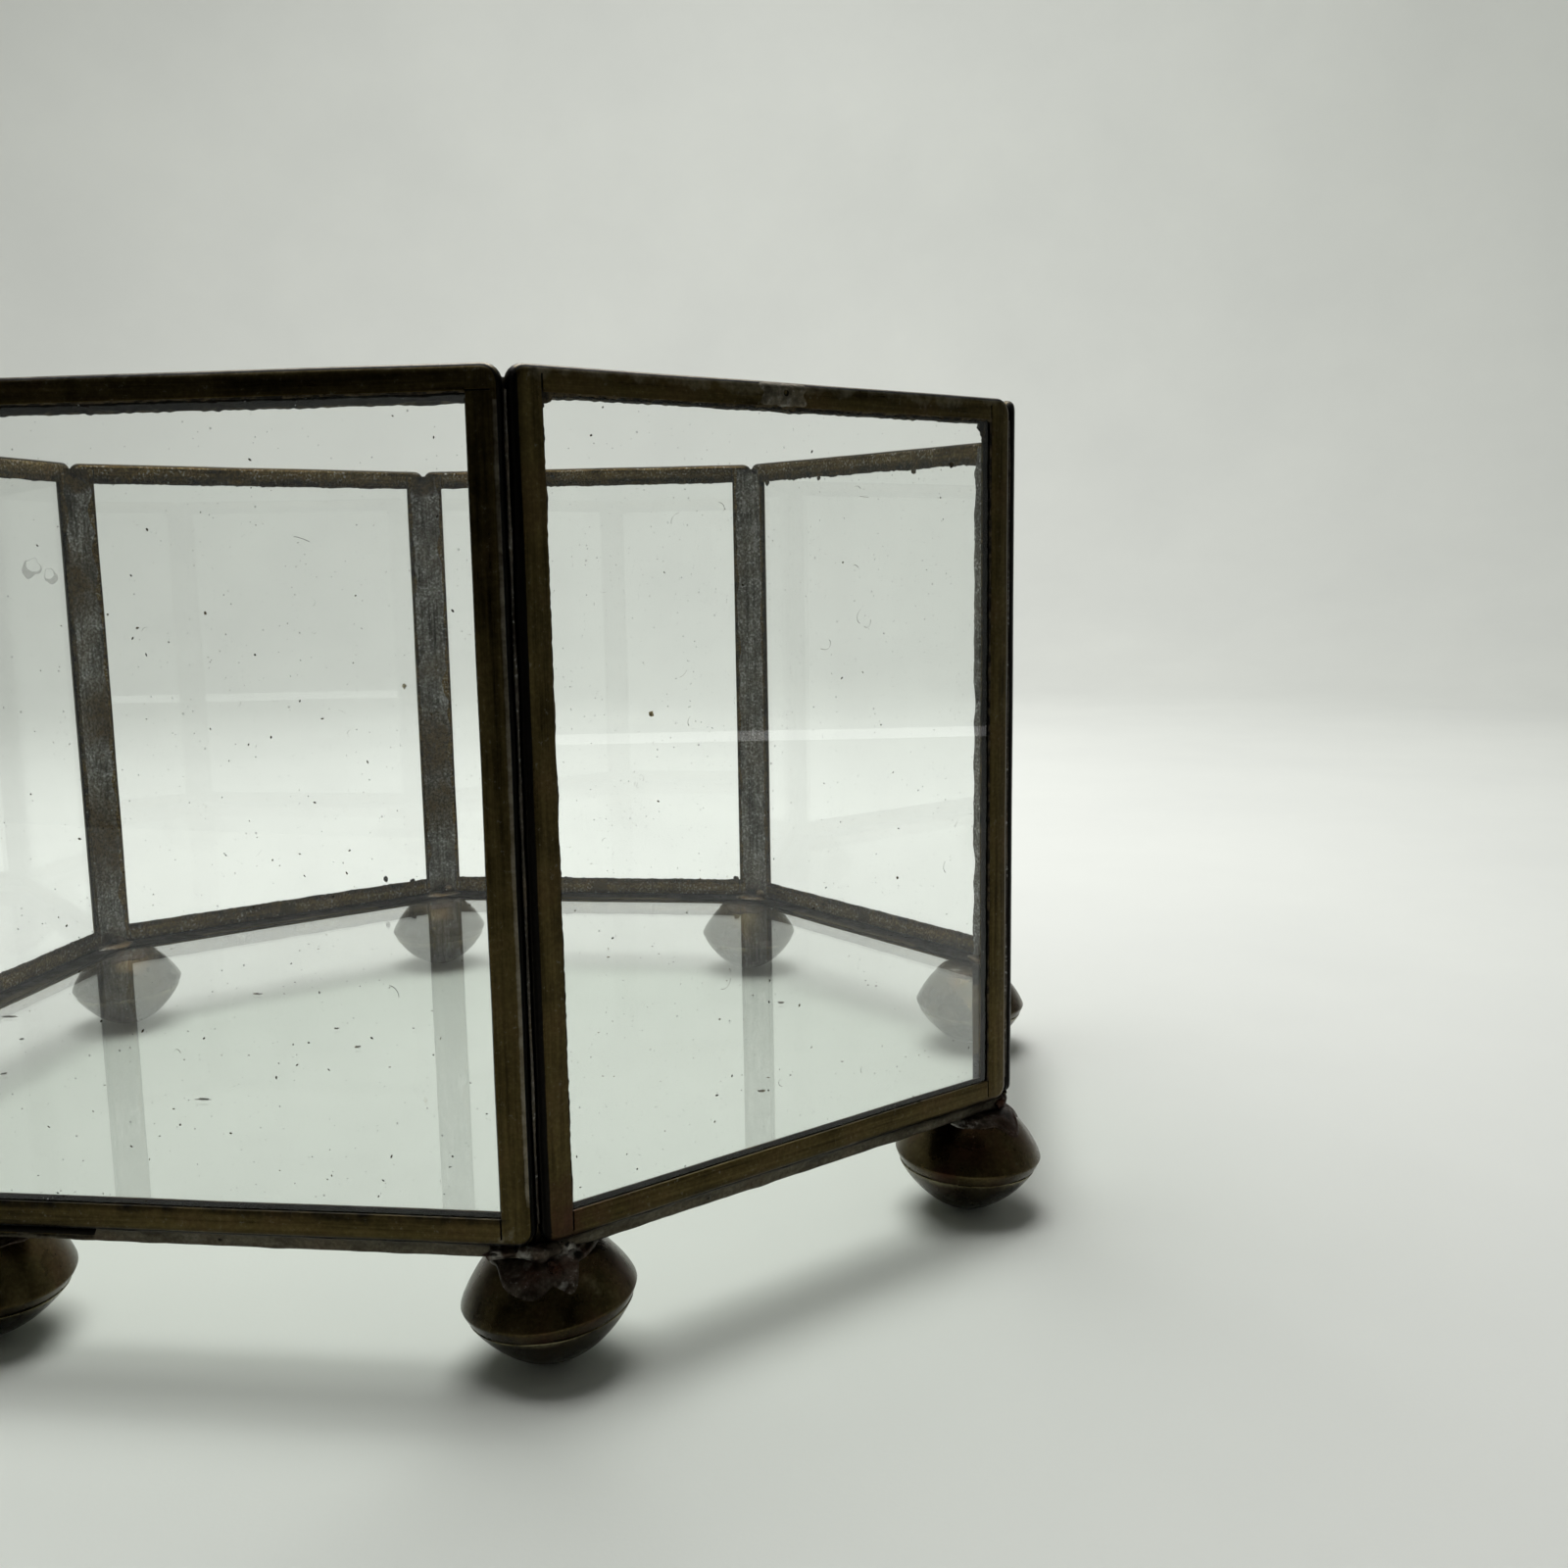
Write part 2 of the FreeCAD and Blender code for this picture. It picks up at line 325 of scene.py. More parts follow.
stageLook = {
    "floorRadius": 0.62,
    "sweepRadius": 0.35,
    "sweepSteps": 12,
    "wallHeight": 1.0,
    "turns": 72,
    "paper": (0.76, 0.775, 0.735, 1),
    "paperShade": (0.72, 0.735, 0.70, 1),
    "worldColor": (0.80, 0.82, 0.79, 1),
    "worldStrength": 0.22,
}
curtainLook = {
    "color": (0.055, 0.055, 0.052, 1),
    "folds": (0.075, 0.075, 0.07, 1),
    "half": 0.6,
    "height": 0.7,
    "place": -0.37,
    "bend": 0.04,
}
lampLook = {  # power, size (two figures for a strip), place, and the point it shines at
    "softbox": (1.77, 0.41, (-0.05, 0.07, 0.46), (-0.08, 0.10, 0.0)),
    "backLamp": (2.75, 0.55, (-0.03, 0.42, 0.62), (-0.03, 0.66, 0.0)),
    "frontLamp": (2.4, 0.2, (0.0, -0.54, 0.60), (0.0, -0.80, 0.05)),  # only for views from behind
    "stripLamp": (0.0053, (0.42, 0.004), (0.497, -0.089, 0.004), (0.0, 0.0, 0.05)),  # line in the near pane
}


def makePaper():
    material, tree, coordinate = newMaterial("stagePaper")
    mottle = noiseAt(tree, coordinate, 9.0, 4.0, 0.6)
    color = mixColor(tree, ranged(tree, mottle, 0.3, 0.7), stageLook["paper"], stageLook["paperShade"])
    grain = noiseAt(tree, coordinate, 2200.0, 2.0)
    bump = place(tree, "ShaderNodeBump", {"Strength": 0.05, "Distance": 0.0002, "Height": grain})
    shader = place(tree, "ShaderNodeBsdfPrincipled", {
        "Base Color": color, "Roughness": 0.9, "Specular IOR Level": 0.1, "Normal": bump.outputs[0],
    })
    # seen from below, the floor lets the feet and the underside show
    clear = place(tree, "ShaderNodeBsdfTransparent", {"Color": (1, 1, 1, 1)})
    under = tree.nodes.new("ShaderNodeNewGeometry").outputs["Backfacing"]
    cameraRay = tree.nodes.new("ShaderNodeLightPath").outputs["Is Camera Ray"]
    seenFromBelow = reckon(tree, "MULTIPLY", under, cameraRay)
    showShader(tree, place(tree, "ShaderNodeMixShader", {
        0: seenFromBelow, 1: shader.outputs[0], 2: clear.outputs[0],
    }))
    return material


def makeStage():
    # a round floor that sweeps up into a wall on every side
    bm = bmesh.new()
    flat, sweep, steps = stageLook["floorRadius"], stageLook["sweepRadius"], stageLook["sweepSteps"]
    points = [(0, 0, 0), (flat / 3, 0, 0), (flat, 0, 0)]
    for step in range(1, steps + 1):
        angle = step / steps * math.pi / 2
        points.append((flat + sweep * math.sin(angle), 0, sweep * (1 - math.cos(angle))))
    points.append((flat + sweep, 0, stageLook["wallHeight"]))
    drawLine(bm, points)
    spin(bm, stageLook["turns"])
    bmesh.ops.recalc_face_normals(bm, faces=bm.faces)
    for face in bm.faces:
        face.smooth = True
    floorFace = min(bm.faces, key=lambda face: face.calc_center_median().length)
    if floorFace.normal.z < 0:
        bmesh.ops.reverse_faces(bm, faces=bm.faces)
    newObject(bm, "stageFloor", [makePaper()])


def makeCurtain():
    # dark room behind the camera: it shades and shows in reflections, but no view looks at it
    material, tree, coordinate = newMaterial("darkRoom")
    folds = noiseAt(tree, coordinate, 6.0, 3.0)
    color = mixColor(tree, folds, curtainLook["color"], curtainLook["folds"])
    showShader(tree, place(tree, "ShaderNodeBsdfPrincipled", {
        "Base Color": color, "Roughness": 0.95, "Specular IOR Level": 0.0,
    }))
    bm = bmesh.new()
    bmesh.ops.create_grid(bm, x_segments=24, y_segments=8, size=1)
    for vert in bm.verts:
        y = curtainLook["place"] + curtainLook["bend"] * math.cos(vert.co.x * math.pi)
        vert.co = Vector((vert.co.x * curtainLook["half"], y, (vert.co.y + 1) / 2 * curtainLook["height"]))
    curtain = newObject(bm, "curtain", [material])
    curtain.visible_camera = False
    curtain.visible_transmission = False


def makeLights():
    world = bpy.data.worlds.new("studioWorld")
    bpy.context.scene.world = world
    world.use_nodes = True
    background = world.node_tree.nodes["Background"]
    background.inputs["Color"].default_value = stageLook["worldColor"]
    background.inputs["Strength"].default_value = stageLook["worldStrength"]
    for name, (power, size, location, target) in lampLook.items():
        lamp = bpy.data.lights.new(name, "AREA")
        lamp.energy = power
        if isinstance(size, tuple):
            lamp.shape = "RECTANGLE"
            lamp.size, lamp.size_y = size
        else:
            lamp.shape = "DISK"
            lamp.size = size
        holder = bpy.data.objects.new(name, lamp)
        holder.location = location
        holder.rotation_euler = (Vector(target) - Vector(location)).to_track_quat("-Z", "Y").to_euler()
        bpy.context.scene.collection.objects.link(holder)
    bpy.context.scene.view_settings.view_transform = "Standard"


cameraLook = {
    "place": (0.0667724, -0.1931851, 0.0723858),
    "yaw": 0.1233,
    "down": 0.1472,
    "roll": 0.0152,
    "lens": 34.856,
}


def makeCamera():
    camera = bpy.data.cameras.new("camera")
    camera.lens = cameraLook["lens"]
    camera.sensor_width = 36
    camera.clip_start, camera.clip_end = 0.005, 20
    holder = bpy.data.objects.new("camera", camera)
    aim = (
        Matrix.Rotation(cameraLook["yaw"], 4, "Z")
        @ Matrix.Rotation(math.pi / 2 - cameraLook["down"], 4, "X")
    )
    holder.matrix_world = (
        Matrix.Translation(cameraLook["place"]) @ aim @ Matrix.Rotation(-cameraLook["roll"], 4, "Z")
    )
    bpy.context.scene.collection.objects.link(holder)
    bpy.context.scene.camera = holder


makeStage()
makeCurtain()
makeLights()
makeCamera()
print("stage, lights and camera made")


# materials


railLook = {
    "stretch": (60, 60, 1700), "dark": (0.022, 0.016, 0.006, 1), "bright": (0.096, 0.073, 0.027, 1),
    "stain": (0.050, 0.025, 0.014, 1), "tin": (0.19, 0.17, 0.13, 1), "bloom": (0.5, 0.5, 0.46, 1),
    "stainAmount": 0.35, "tinAmount": 0.12, "bloomAmount": 0.12, "smooth": 0.24, "rough": 0.5, "grain": 0.3,
    "bumpStrength": 0.35, "bumpDistance": 0.00012,
}
legLook = dict(railLook, stretch=(1500, 1500, 60))
# a near-black copy of the brass for the flanges' inner faces: painted shade inside the channel
shadedInnerLook = dict(
    railLook, dark=(0.003, 0.003, 0.002, 1), bright=(0.014, 0.012, 0.008, 1), tin=(0.06, 0.065, 0.07, 1),
    tinAmount=0.2, rough=0.8, smooth=0.6, bloomAmount=0.2,
)
roomLook = dict(
    railLook, dark=(0.055, 0.035, 0.011, 1), bright=(0.30, 0.215, 0.075, 1), tin=(0.44, 0.38, 0.24, 1),
    tinAmount=0.12, stain=(0.14, 0.07, 0.025, 1), bloomAmount=1.1, rough=0.7, grain=0.9,
)
ringLook = dict(railLook, tinAmount=0.35, tin=(0.12, 0.105, 0.075, 1), rough=0.6)
beadMetalLook = {
    "stretch": (150, 150, 150), "dark": (0.022, 0.016, 0.007, 1), "bright": (0.090, 0.070, 0.030, 1),
    "stain": (0.050, 0.021, 0.012, 1), "tin": (0.22, 0.195, 0.115, 1), "bloom": (0.5, 0.5, 0.45, 1),
    "stainAmount": 0.5, "tinAmount": 0.1, "bloomAmount": 0.06, "smooth": 0.2, "rough": 0.4, "grain": 0.35,
    "bumpStrength": 0.15, "bumpDistance": 0.0001,
}
solderLook = {
    "stretch": (1900, 1900, 90), "dark": (0.040, 0.038, 0.031, 1), "bright": (0.46, 0.455, 0.42, 1),
    "stain": (0.115, 0.082, 0.04, 1), "tin": (0.46, 0.47, 0.45, 1), "bloom": (0.75, 0.75, 0.72, 1),
    "stainAmount": 0.45, "tinAmount": 0.22, "bloomAmount": 0.85, "smooth": 0.35, "rough": 0.65, "grain": 0.85,
    "bumpStrength": 0.6, "bumpDistance": 0.0002,
}
lumpLook = dict(
    solderLook, stretch=(900, 900, 900), stainAmount=1.0, dark=(0.014, 0.009, 0.006, 1),
    bright=(0.12, 0.10, 0.08, 1), stain=(0.038, 0.016, 0.010, 1), tin=(0.40, 0.39, 0.36, 1),
    tinAmount=0.26, bloomAmount=0.25, grain=0.5,
)
tinnedLook = dict(
    solderLook, stretch=(300, 300, 900), dark=(0.045, 0.038, 0.026, 1), bright=(0.15, 0.135, 0.10, 1),
    stain=(0.07, 0.04, 0.022, 1), tin=(0.20, 0.19, 0.155, 1), tinAmount=0.2, bloomAmount=0.12, grain=0.4,
)
seamLook = dict(
    solderLook, stretch=(700, 700, 700), dark=(0.055, 0.047, 0.032, 1), bright=(0.21, 0.19, 0.15, 1),
    tin=(0.27, 0.26, 0.23, 1), bloomAmount=0.25, grain=0.5,
)
grooveLook = dict(
    solderLook, dark=(0.012, 0.008, 0.006, 1), bright=(0.17, 0.155, 0.13, 1), tin=(0.26, 0.25, 0.22, 1),
    bloomAmount=0.5, grain=0.5,
)

railBrass = makeMetal("railBrass", railLook)
legBrass = makeMetal("legBrass", legLook)
shadedInnerBrass = makeMetal("shadedInnerBrass", shadedInnerLook)
roomBrass = makeMetal("roomBrass", roomLook)
ringBrass = makeMetal("ringBrass", ringLook)
beadBrass = makeMetal("beadBrass", beadMetalLook)
stripSolder = makeMetal("stripSolder", solderLook)
lumpSolder = makeMetal("lumpSolder", lumpLook)
tinnedSolder = makeMetal("tinnedSolder", tinnedLook)
grooveSolder = makeMetal("grooveSolder", grooveLook)
seamSolder = makeMetal("seamSolder", seamLook)


def makeDull(name, dark, pale, scale, alpha=1.0):  # cement, dirt and dried lime
    material, tree, coordinate = newMaterial(name)
    patches = noiseAt(tree, coordinate, scale, 4.0, 0.65)
    grain = noiseAt(tree, coordinate, scale * 6, 2.0)
    color = mixColor(tree, ranged(tree, patches, 0.45, 0.62), dark, pale)
    bump = place(tree, "ShaderNodeBump", {"Strength": 0.5, "Distance": 0.0001, "Height": grain})
    showShader(tree, place(tree, "ShaderNodeBsdfPrincipled", {
        "Base Color": color, "Roughness": ranged(tree, grain, 0.3, 0.7, 0.6, 0.95), "Alpha": alpha,
        "Specular IOR Level": 0.2, "Normal": bump.outputs[0],
    }))
    return material


crust = makeDull("crust", (0.010, 0.007, 0.004, 1), (0.070, 0.052, 0.026, 1), 900.0)
dirt = makeDull("dirt", (0.020, 0.016, 0.010, 1), (0.10, 0.075, 0.035, 1), 500.0)
sand = makeDull("sand", (0.20, 0.15, 0.07, 1), (0.55, 0.46, 0.26, 1), 2500.0)
driedLime = makeDull("driedLime", (0.17, 0.145, 0.13, 1), (0.50, 0.46, 0.43, 1), 1500.0, 0.2)

glassLook = {
    "tint": (0.972, 0.988, 0.976, 1),
    "smear": (0.955, 0.968, 0.958, 1),
    "dust": (0.20, 0.19, 0.16, 1),
    "paleDust": (0.62, 0.64, 0.60, 1),
    "lightTint": (0.93, 0.95, 0.93, 1),  # what the panes leave of the lamps' light
    "ior": 1.5,
    "smudge": 0.04,
    "waviness": 0.03,
    "veil": 0.012,
    "specks": ((520.0, 0.075, 0.66), (1100.0, 0.095, 0.72), (2300.0, 0.15, 0.84)),  # cells, size, empty share
}


def makeDustGroup():
    # scattered specks, one share of them in each size of cell, and thin clouded veils
    group, start, end = newGroup(
        "glassDust", {"coordinate": "Vector", "veil": "Float"}, {"mask": "Float", "pale": "Float"}
    )
    specks = 0.0
    for scale, size, share in glassLook["specks"]:
        cells = place(group, "ShaderNodeTexVoronoi", {"Vector": start["coordinate"], "Scale": scale})
        chances = place(group, "ShaderNodeSeparateColor", {0: cells.outputs["Color"]}).outputs
        inside = ranged(group, cells.outputs["Distance"], size, size * 0.5)
        strength = reckon(group, "POWER", chances[1], 1.6)
        kept = reckon(group, "MULTIPLY", ranged(group, chances[0], share, share + 0.02), strength)
        specks = reckon(group, "MAXIMUM", specks, reckon(group, "MULTIPLY", inside, kept))
    cloud = noiseAt(group, start["coordinate"], 55.0, 6.0, 0.7)
    veil = reckon(group, "MULTIPLY", ranged(group, cloud, 0.46, 0.72), start["veil"])
    pale = noiseAt(group, start["coordinate"], 140.0, 1.0)
    pale = reckon(group, "SUBTRACT", pale, reckon(group, "MULTIPLY", specks, 0.2))
    mask = reckon(group, "MAXIMUM", reckon(group, "MULTIPLY", specks, 0.8), veil)
    group.links.new(mask, end["mask"])
    group.links.new(ranged(group, pale, 0.3, 0.4), end["pale"])
    return group


def makeGlass():
    material, tree, coordinate = newMaterial("clearGlass")
    film = noiseAt(tree, coordinate, 45.0, 5.0, 0.65)
    color = mixColor(tree, ranged(tree, film, 0.45, 0.7), glassLook["tint"], glassLook["smear"])
    rough = reckon(tree, "MULTIPLY", ranged(tree, film, 0.55, 0.75), glassLook["smudge"])
    waves = noiseAt(tree, coordinate, 30.0, 1.0)
    bump = place(tree, "ShaderNodeBump", {
        "Strength": glassLook["waviness"], "Distance": 0.0002, "Height": waves,
    })
    shader = place(tree, "ShaderNodeBsdfPrincipled", {
        "Base Color": color, "Roughness": rough, "IOR": glassLook["ior"], "Transmission Weight": 1.0,
        "Normal": bump.outputs[0],
    })
    dust = placeGroup(tree, makeDustGroup(), {"coordinate": coordinate, "veil": glassLook["veil"]})
    dustColor = mixColor(tree, dust["pale"], glassLook["dust"], glassLook["paleDust"])
    grains = place(tree, "ShaderNodeBsdfPrincipled", {"Base Color": dustColor, "Roughness": 0.9})
    dusty = place(tree, "ShaderNodeMixShader", {0: dust["mask"], 1: shader.outputs[0], 2: grains.outputs[0]})
    clear = place(tree, "ShaderNodeBsdfTransparent", {"Color": glassLook["lightTint"]})
    rays = tree.nodes.new("ShaderNodeLightPath").outputs
    lightRay = reckon(tree, "MAXIMUM", rays["Is Shadow Ray"], rays["Is Diffuse Ray"])
    showShader(tree, place(tree, "ShaderNodeMixShader", {
        0: lightRay, 1: dusty.outputs[0], 2: clear.outputs[0],
    }))
    return material


clearGlass = makeGlass()
for name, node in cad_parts.items():
    if name.endswith("pane") or name.startswith("wall_pane"):
        node.data.materials.clear()
        node.data.materials.append(clearGlass)
print("materials made")


# wall channels


channelLook = {
    "legOuter": 0.0029,      # how far each flange reaches over the pane
    "legInner": 0.0033,
    "topOuter": 0.0023,
    "bottomOuter": 0.00262,
    "railInner": 0.0029,
    "topInner": {1: 0.00305, 2: 0.00255},  # measured on the two near walls
    "flange": 0.00025,
    "back": 0.0006,
    "backRound": 0.0008,
    "bend": 0.0016,
    "lipRound": 0.00007,
    "lipAngle": 1.2,         # a flange's free edge turns more than this, in radians
    "crossCut": 0.0030,      # spacing of the cuts that let the lips wander
    "crossEnd": 0.005,       # where they end before each corner
    "wander": 0.00006,
    "wanderSpacing": 0.011,
    "lapGap": 0.00013,       # open line where a leg's flange lies over a rail's end
    "lapDepth": 0.00016,
    "railOverLeg": (1, 5, 6, 8),  # walls whose top rail lies over the legs
}
channelPaint = {
    "grooveShade": (0.0008, 0.0003),  # width of the bend beside each groove that is painted with shade, left and right
    "grooveAmount": 1.4,
    "lapShade": 1.0,
    "railShade": {1: 0.42, 2: 0.22},  # painted shade at the window's lower edge, fading out over the bottom rail
    "roomShade": 0.42,                # painted shade along the window's edges on the side that faces the room inside
    "bendHighlight": {1: (0.0286, 0.00016, 0.42)},  # place, half width and strength of a painted highlight line on a bend
    "edgeWear": (0.4, 0.0008),        # wear of the outer edges and how far it reaches over the face
    "topWearAndSheen": {2: (0.34, 0.0024)},   # a wider painted highlight along the top edge where it differs, and how far it reaches
    "spots": {  # kind, (along the wall, height), radius, amount
        1: (
            ("rust", (0.0255, 0.0160), 0.0022, 0.25), ("wornAndSheen", (0.0262, 0.0136), 0.0010, 0.30),
            ("wornAndSheen", (0.0243, 0.0149), 0.0005, 0.4),
        ),
        2: (
            ("rust", (-0.0272, 0.0148), 0.0052, 0.48), ("grimeAndShade", (-0.0270, 0.0134), 0.0022, 0.40),
            ("rust", (-0.0200, 0.0145), 0.0040, 0.26), ("wornAndSheen", (-0.0058, 0.0877), 0.0016, 0.34),
            ("wornAndSheen", (-0.0075, 0.0875), 0.0012, 0.28), ("rust", (0.0165, 0.0873), 0.0022, 0.34),
            ("rust", (0.0262, 0.0840), 0.0030, 0.30), ("wornAndSheen", (0.0250, 0.0876), 0.0016, 0.30),
        ),
    },
}


def bentPlate():
    # block with the channel's outside form: bent corners and a rounded back
    bm = bmesh.new()
    bmesh.ops.create_cube(bm, size=1)
    bmesh.ops.scale(bm, vec=wallSize, verts=bm.verts)
    through = [edge for edge in bm.edges if abs(edge.verts[0].co.y - edge.verts[1].co.y) > halfY]
    roundEdges(bm, through, channelLook["bend"], 6)
    rims = [edge for edge in bm.edges if abs(edge.verts[0].co.y - edge.verts[1].co.y) < halfY]
    roundEdges(bm, rims, channelLook["backRound"], 5)
    return bm


def windowOf(number, side):  # left, right, bottom, top of the opening in the outer (-1) or inner (1) flange
    if side < 0:
        leg, top, bottom = (channelLook[name] for name in ("legOuter", "topOuter", "bottomOuter"))
    else:
        leg, bottom = channelLook["legInner"], channelLook["railInner"]
        top = channelLook["topInner"].get(number, bottom)
    return leg - halfX, halfX - leg, bottom - halfZ, halfZ - top


def openWindow(bm, side, window):
    # takes the flange face out of the window, folds the lip in and runs it back to the pocket
    left, right, bottom, top = window
    face = side * halfY
    gone = []
    for candidate in bm.faces:
        middle = candidate.calc_center_median()
        if abs(middle.y - face) < 1e-6 and left < middle.x < right and bottom < middle.z < top:
            gone.append(candidate)
    bmesh.ops.delete(bm, geom=gone, context="FACES")
    lip = [
        edge for edge in bm.edges
        if edge.is_boundary and all(abs(v.co.y - face) < 1e-6 for v in edge.verts)
    ]
    folded = bmesh.ops.extrude_edge_only(bm, edges=lip)["geom"]
    bmesh.ops.translate(
        bm, vec=(0, -side * channelLook["flange"], 0),
        verts=[v for v in folded if isinstance(v, bmesh.types.BMVert)]
    )
    inner = [edge for edge in folded if isinstance(edge, bmesh.types.BMEdge) and edge.is_boundary]
    pocket = bmesh.ops.extrude_edge_only(bm, edges=inner)["geom"]
    pocketX, pocketZ = halfX - channelLook["back"], halfZ - channelLook["back"]
    for vert in [v for v in pocket if isinstance(v, bmesh.types.BMVert)]:
        vert.co.x = (vert.co.x - left) / (right - left) * 2 * pocketX - pocketX
        vert.co.z = (vert.co.z - bottom) / (top - bottom) * 2 * pocketZ - pocketZ
    return [edge for edge in pocket if isinstance(edge, bmesh.types.BMEdge) and edge.is_boundary]


def cutLaps(bm, number, side, window, grimeAndShade):
    # open line painted with shade between each rail's end and the leg that laps over it, or the other way
    # round
    left, right, bottom, top = window
    gap = channelLook["lapGap"]
    strips = []
    for candidate in bm.faces:
        middle = candidate.calc_center_median()
        if abs(middle.y - side * halfY) > 1e-6:
            continue
        outOfWindow = middle.x < left or middle.x > right
        if side < 0 and number in channelLook["railOverLeg"] and middle.z > bottom:
            inBend = abs(middle.x) > halfX - channelLook["bend"]
            if outOfWindow and not inBend and top < middle.z < top + gap:
                strips.append(candidate)
        elif not bottom < middle.z < top and (left < middle.x < left + gap or right - gap < middle.x < right):
            strips.append(candidate)
    bmesh.ops.inset_region(
        bm, faces=strips, thickness=0.00001, depth=-channelLook["lapDepth"], use_even_offset=True
    )
    # the gap's faces are painted with shade
    for strip in strips:
        for vert in strip.verts:
            vert[grimeAndShade] = channelPaint["lapShade"]


def paintChannel(bm, number, layers, window):
    # painted shade in the grooves and along the window's edges, worn edges, painted highlights on a top edge
    # and a bend, and stains beside the solder
    right, bottom, top = window[1:]
    grimeAndShade, wornAndSheen = layers["grimeAndShade"], layers["wornAndSheen"]
    highlightAt, highlightHalf, highlightAmount = channelPaint["bendHighlight"].get(number, (1, 1e-9, 0))
    edgeWear, edgeReach = channelPaint["edgeWear"]
    topWearAndSheen, topReach = channelPaint["topWearAndSheen"].get(number, channelPaint["edgeWear"])
    margin = 0.0002  # the lips wander a little past the window's edge
    for vert in bm.verts:
        x, y, z = vert.co
        if y > 0:
            # painted shade along the window's edges on the room side
            inward = max(bottom - z, z - top, 0) / (halfZ - top)
            shade = channelPaint["roomShade"] * (1 - inward) if abs(x) < right else 0
            vert[grimeAndShade] = max(vert[grimeAndShade], shade)
            continue
        # painted shade on the bend beside each groove
        wide = channelPaint["grooveShade"][0 if x < 0 else 1]
        shaded = channelPaint["grooveAmount"] * limited((abs(x) - halfX + wide) / wide * 2, 0, 1)
        # painted shade under the window's lower edge
        if z < bottom + margin and abs(x) < right + margin:
            shaded = max(shaded, channelPaint["railShade"].get(number, 0) * (z + halfZ) / (bottom + halfZ))
        vert[grimeAndShade] = max(vert[grimeAndShade], shaded)
        if vert[grimeAndShade] < 0.5:
            # worn top and bottom edges, with a painted highlight on the top edge where it differs
            wearAndSheen = max(topWearAndSheen * (1 - (halfZ - z) / topReach), edgeWear * (1 - (z + halfZ) / edgeReach), 0)
            # painted highlight line along the bend
            if abs(x - highlightAt) < highlightHalf and abs(z) < halfZ - 0.003:
                wearAndSheen = max(wearAndSheen, highlightAmount + 0.12 * rumble(z / 0.006, number))
            vert[wornAndSheen] = wearAndSheen
    for kind, (u, height), radius, amount in channelPaint["spots"].get(number, ()):
        for vert in bm.verts:
            share = math.hypot(vert.co.x - u, vert.co.z + wallMiddle.z - height) / radius
            if share < 1 and vert.co.y < 0:
                vert[layers[kind]] = max(vert[layers[kind]], amount * (1 - share * share))


def makeWallFrame(number):
    outer, inner = windowOf(number, -1), windowOf(number, 1)
    bm = bentPlate()
    layers = {kind: bm.verts.layers.float.new(kind) for kind in paintKinds}
    gap = channelLook["lapGap"]
    for window in (outer, inner):
        for x in window[:2]:
            cutAcross(bm, (x, 0, 0), (1, 0, 0))
            cutAcross(bm, (x - math.copysign(gap, x), 0, 0), (1, 0, 0))
        for z in (*window[2:], window[3] + gap):
            cutAcross(bm, (0, 0, z), (0, 0, 1))
    for axis, half in ((0, halfX), (2, halfZ)):
        reach = half - channelLook["crossEnd"]
        steps = int(2 * reach / channelLook["crossCut"])
        for step in range(steps + 1):
            point, normal = [0, 0, 0], [0, 0, 0]
            point[axis], normal[axis] = step * 2 * reach / steps - reach, 1
            cutAcross(bm, point, normal)
    frontLoop = openWindow(bm, -1, outer)
    backLoop = openWindow(bm, 1, inner)
    bmesh.ops.bridge_loops(bm, edges=frontLoop + backLoop)
    cutLaps(bm, number, -1, outer, layers["grimeAndShade"])
    cutLaps(bm, number, 1, inner, layers["grimeAndShade"])
    lips = []
    for edge in bm.edges:
        if len(edge.link_faces) == 2 and all(abs(abs(v.co.y) - halfY) < 1e-6 for v in edge.verts):
            flats = [abs(face.normal.y) > 0.9 for face in edge.link_faces]
            if flats.count(True) == 1 and edge.calc_face_angle(0) > channelLook["lipAngle"]:
                lips.append(edge)
    roundEdges(bm, lips, channelLook["lipRound"], 2)
    for face in bm.faces:
        middle = face.calc_center_median()
        if abs(middle.x) > halfX - channelLook["legOuter"]:
            face.material_index = 1
        if middle.y > halfY - 0.0002:
            face.material_index = 3
        # the flanges' inner faces get the darker copy, painted shade inside the channel
        if abs(abs(middle.y) - (halfY - channelLook["flange"])) < 1e-5:
            face.material_index = 2
    paintChannel(bm, number, layers, outer)
    wander(bm.verts, channelLook["wander"], channelLook["wanderSpacing"], number, Vector((1, 0.5, 1)))
    for vert in bm.verts:
        vert.co.x = limited(vert.co.x, -halfX, halfX)
        vert.co.z = limited(vert.co.z, -halfZ, halfZ)
    bmesh.ops.translate(bm, vec=wallMiddle, verts=bm.verts)
    bmesh.ops.transform(bm, matrix=turned(number), verts=bm.verts)
    brasses = [railBrass, legBrass, shadedInnerBrass, roomBrass]
    addPiece(bm, f"wallChannel{number}", brasses, [f"wall_frame_{number}"], 30)


for number in range(1, wallCount + 1):
    makeWallFrame(number)
print("wall channels made")


# floor channel


ringShape = {
    "reach": 0.0036, "back": 0.0006, "flange": 0.0002, "round": 0.0006,
    "wander": 0.00005, "spacing": 0.012, "cuts": 11,
    "grimeAndShade": 1.2, "shadeDepth": 0.0006, "shadeReach": 0.002,  # painted shade along the top of the outer edge, in the gap under the wall channels
}


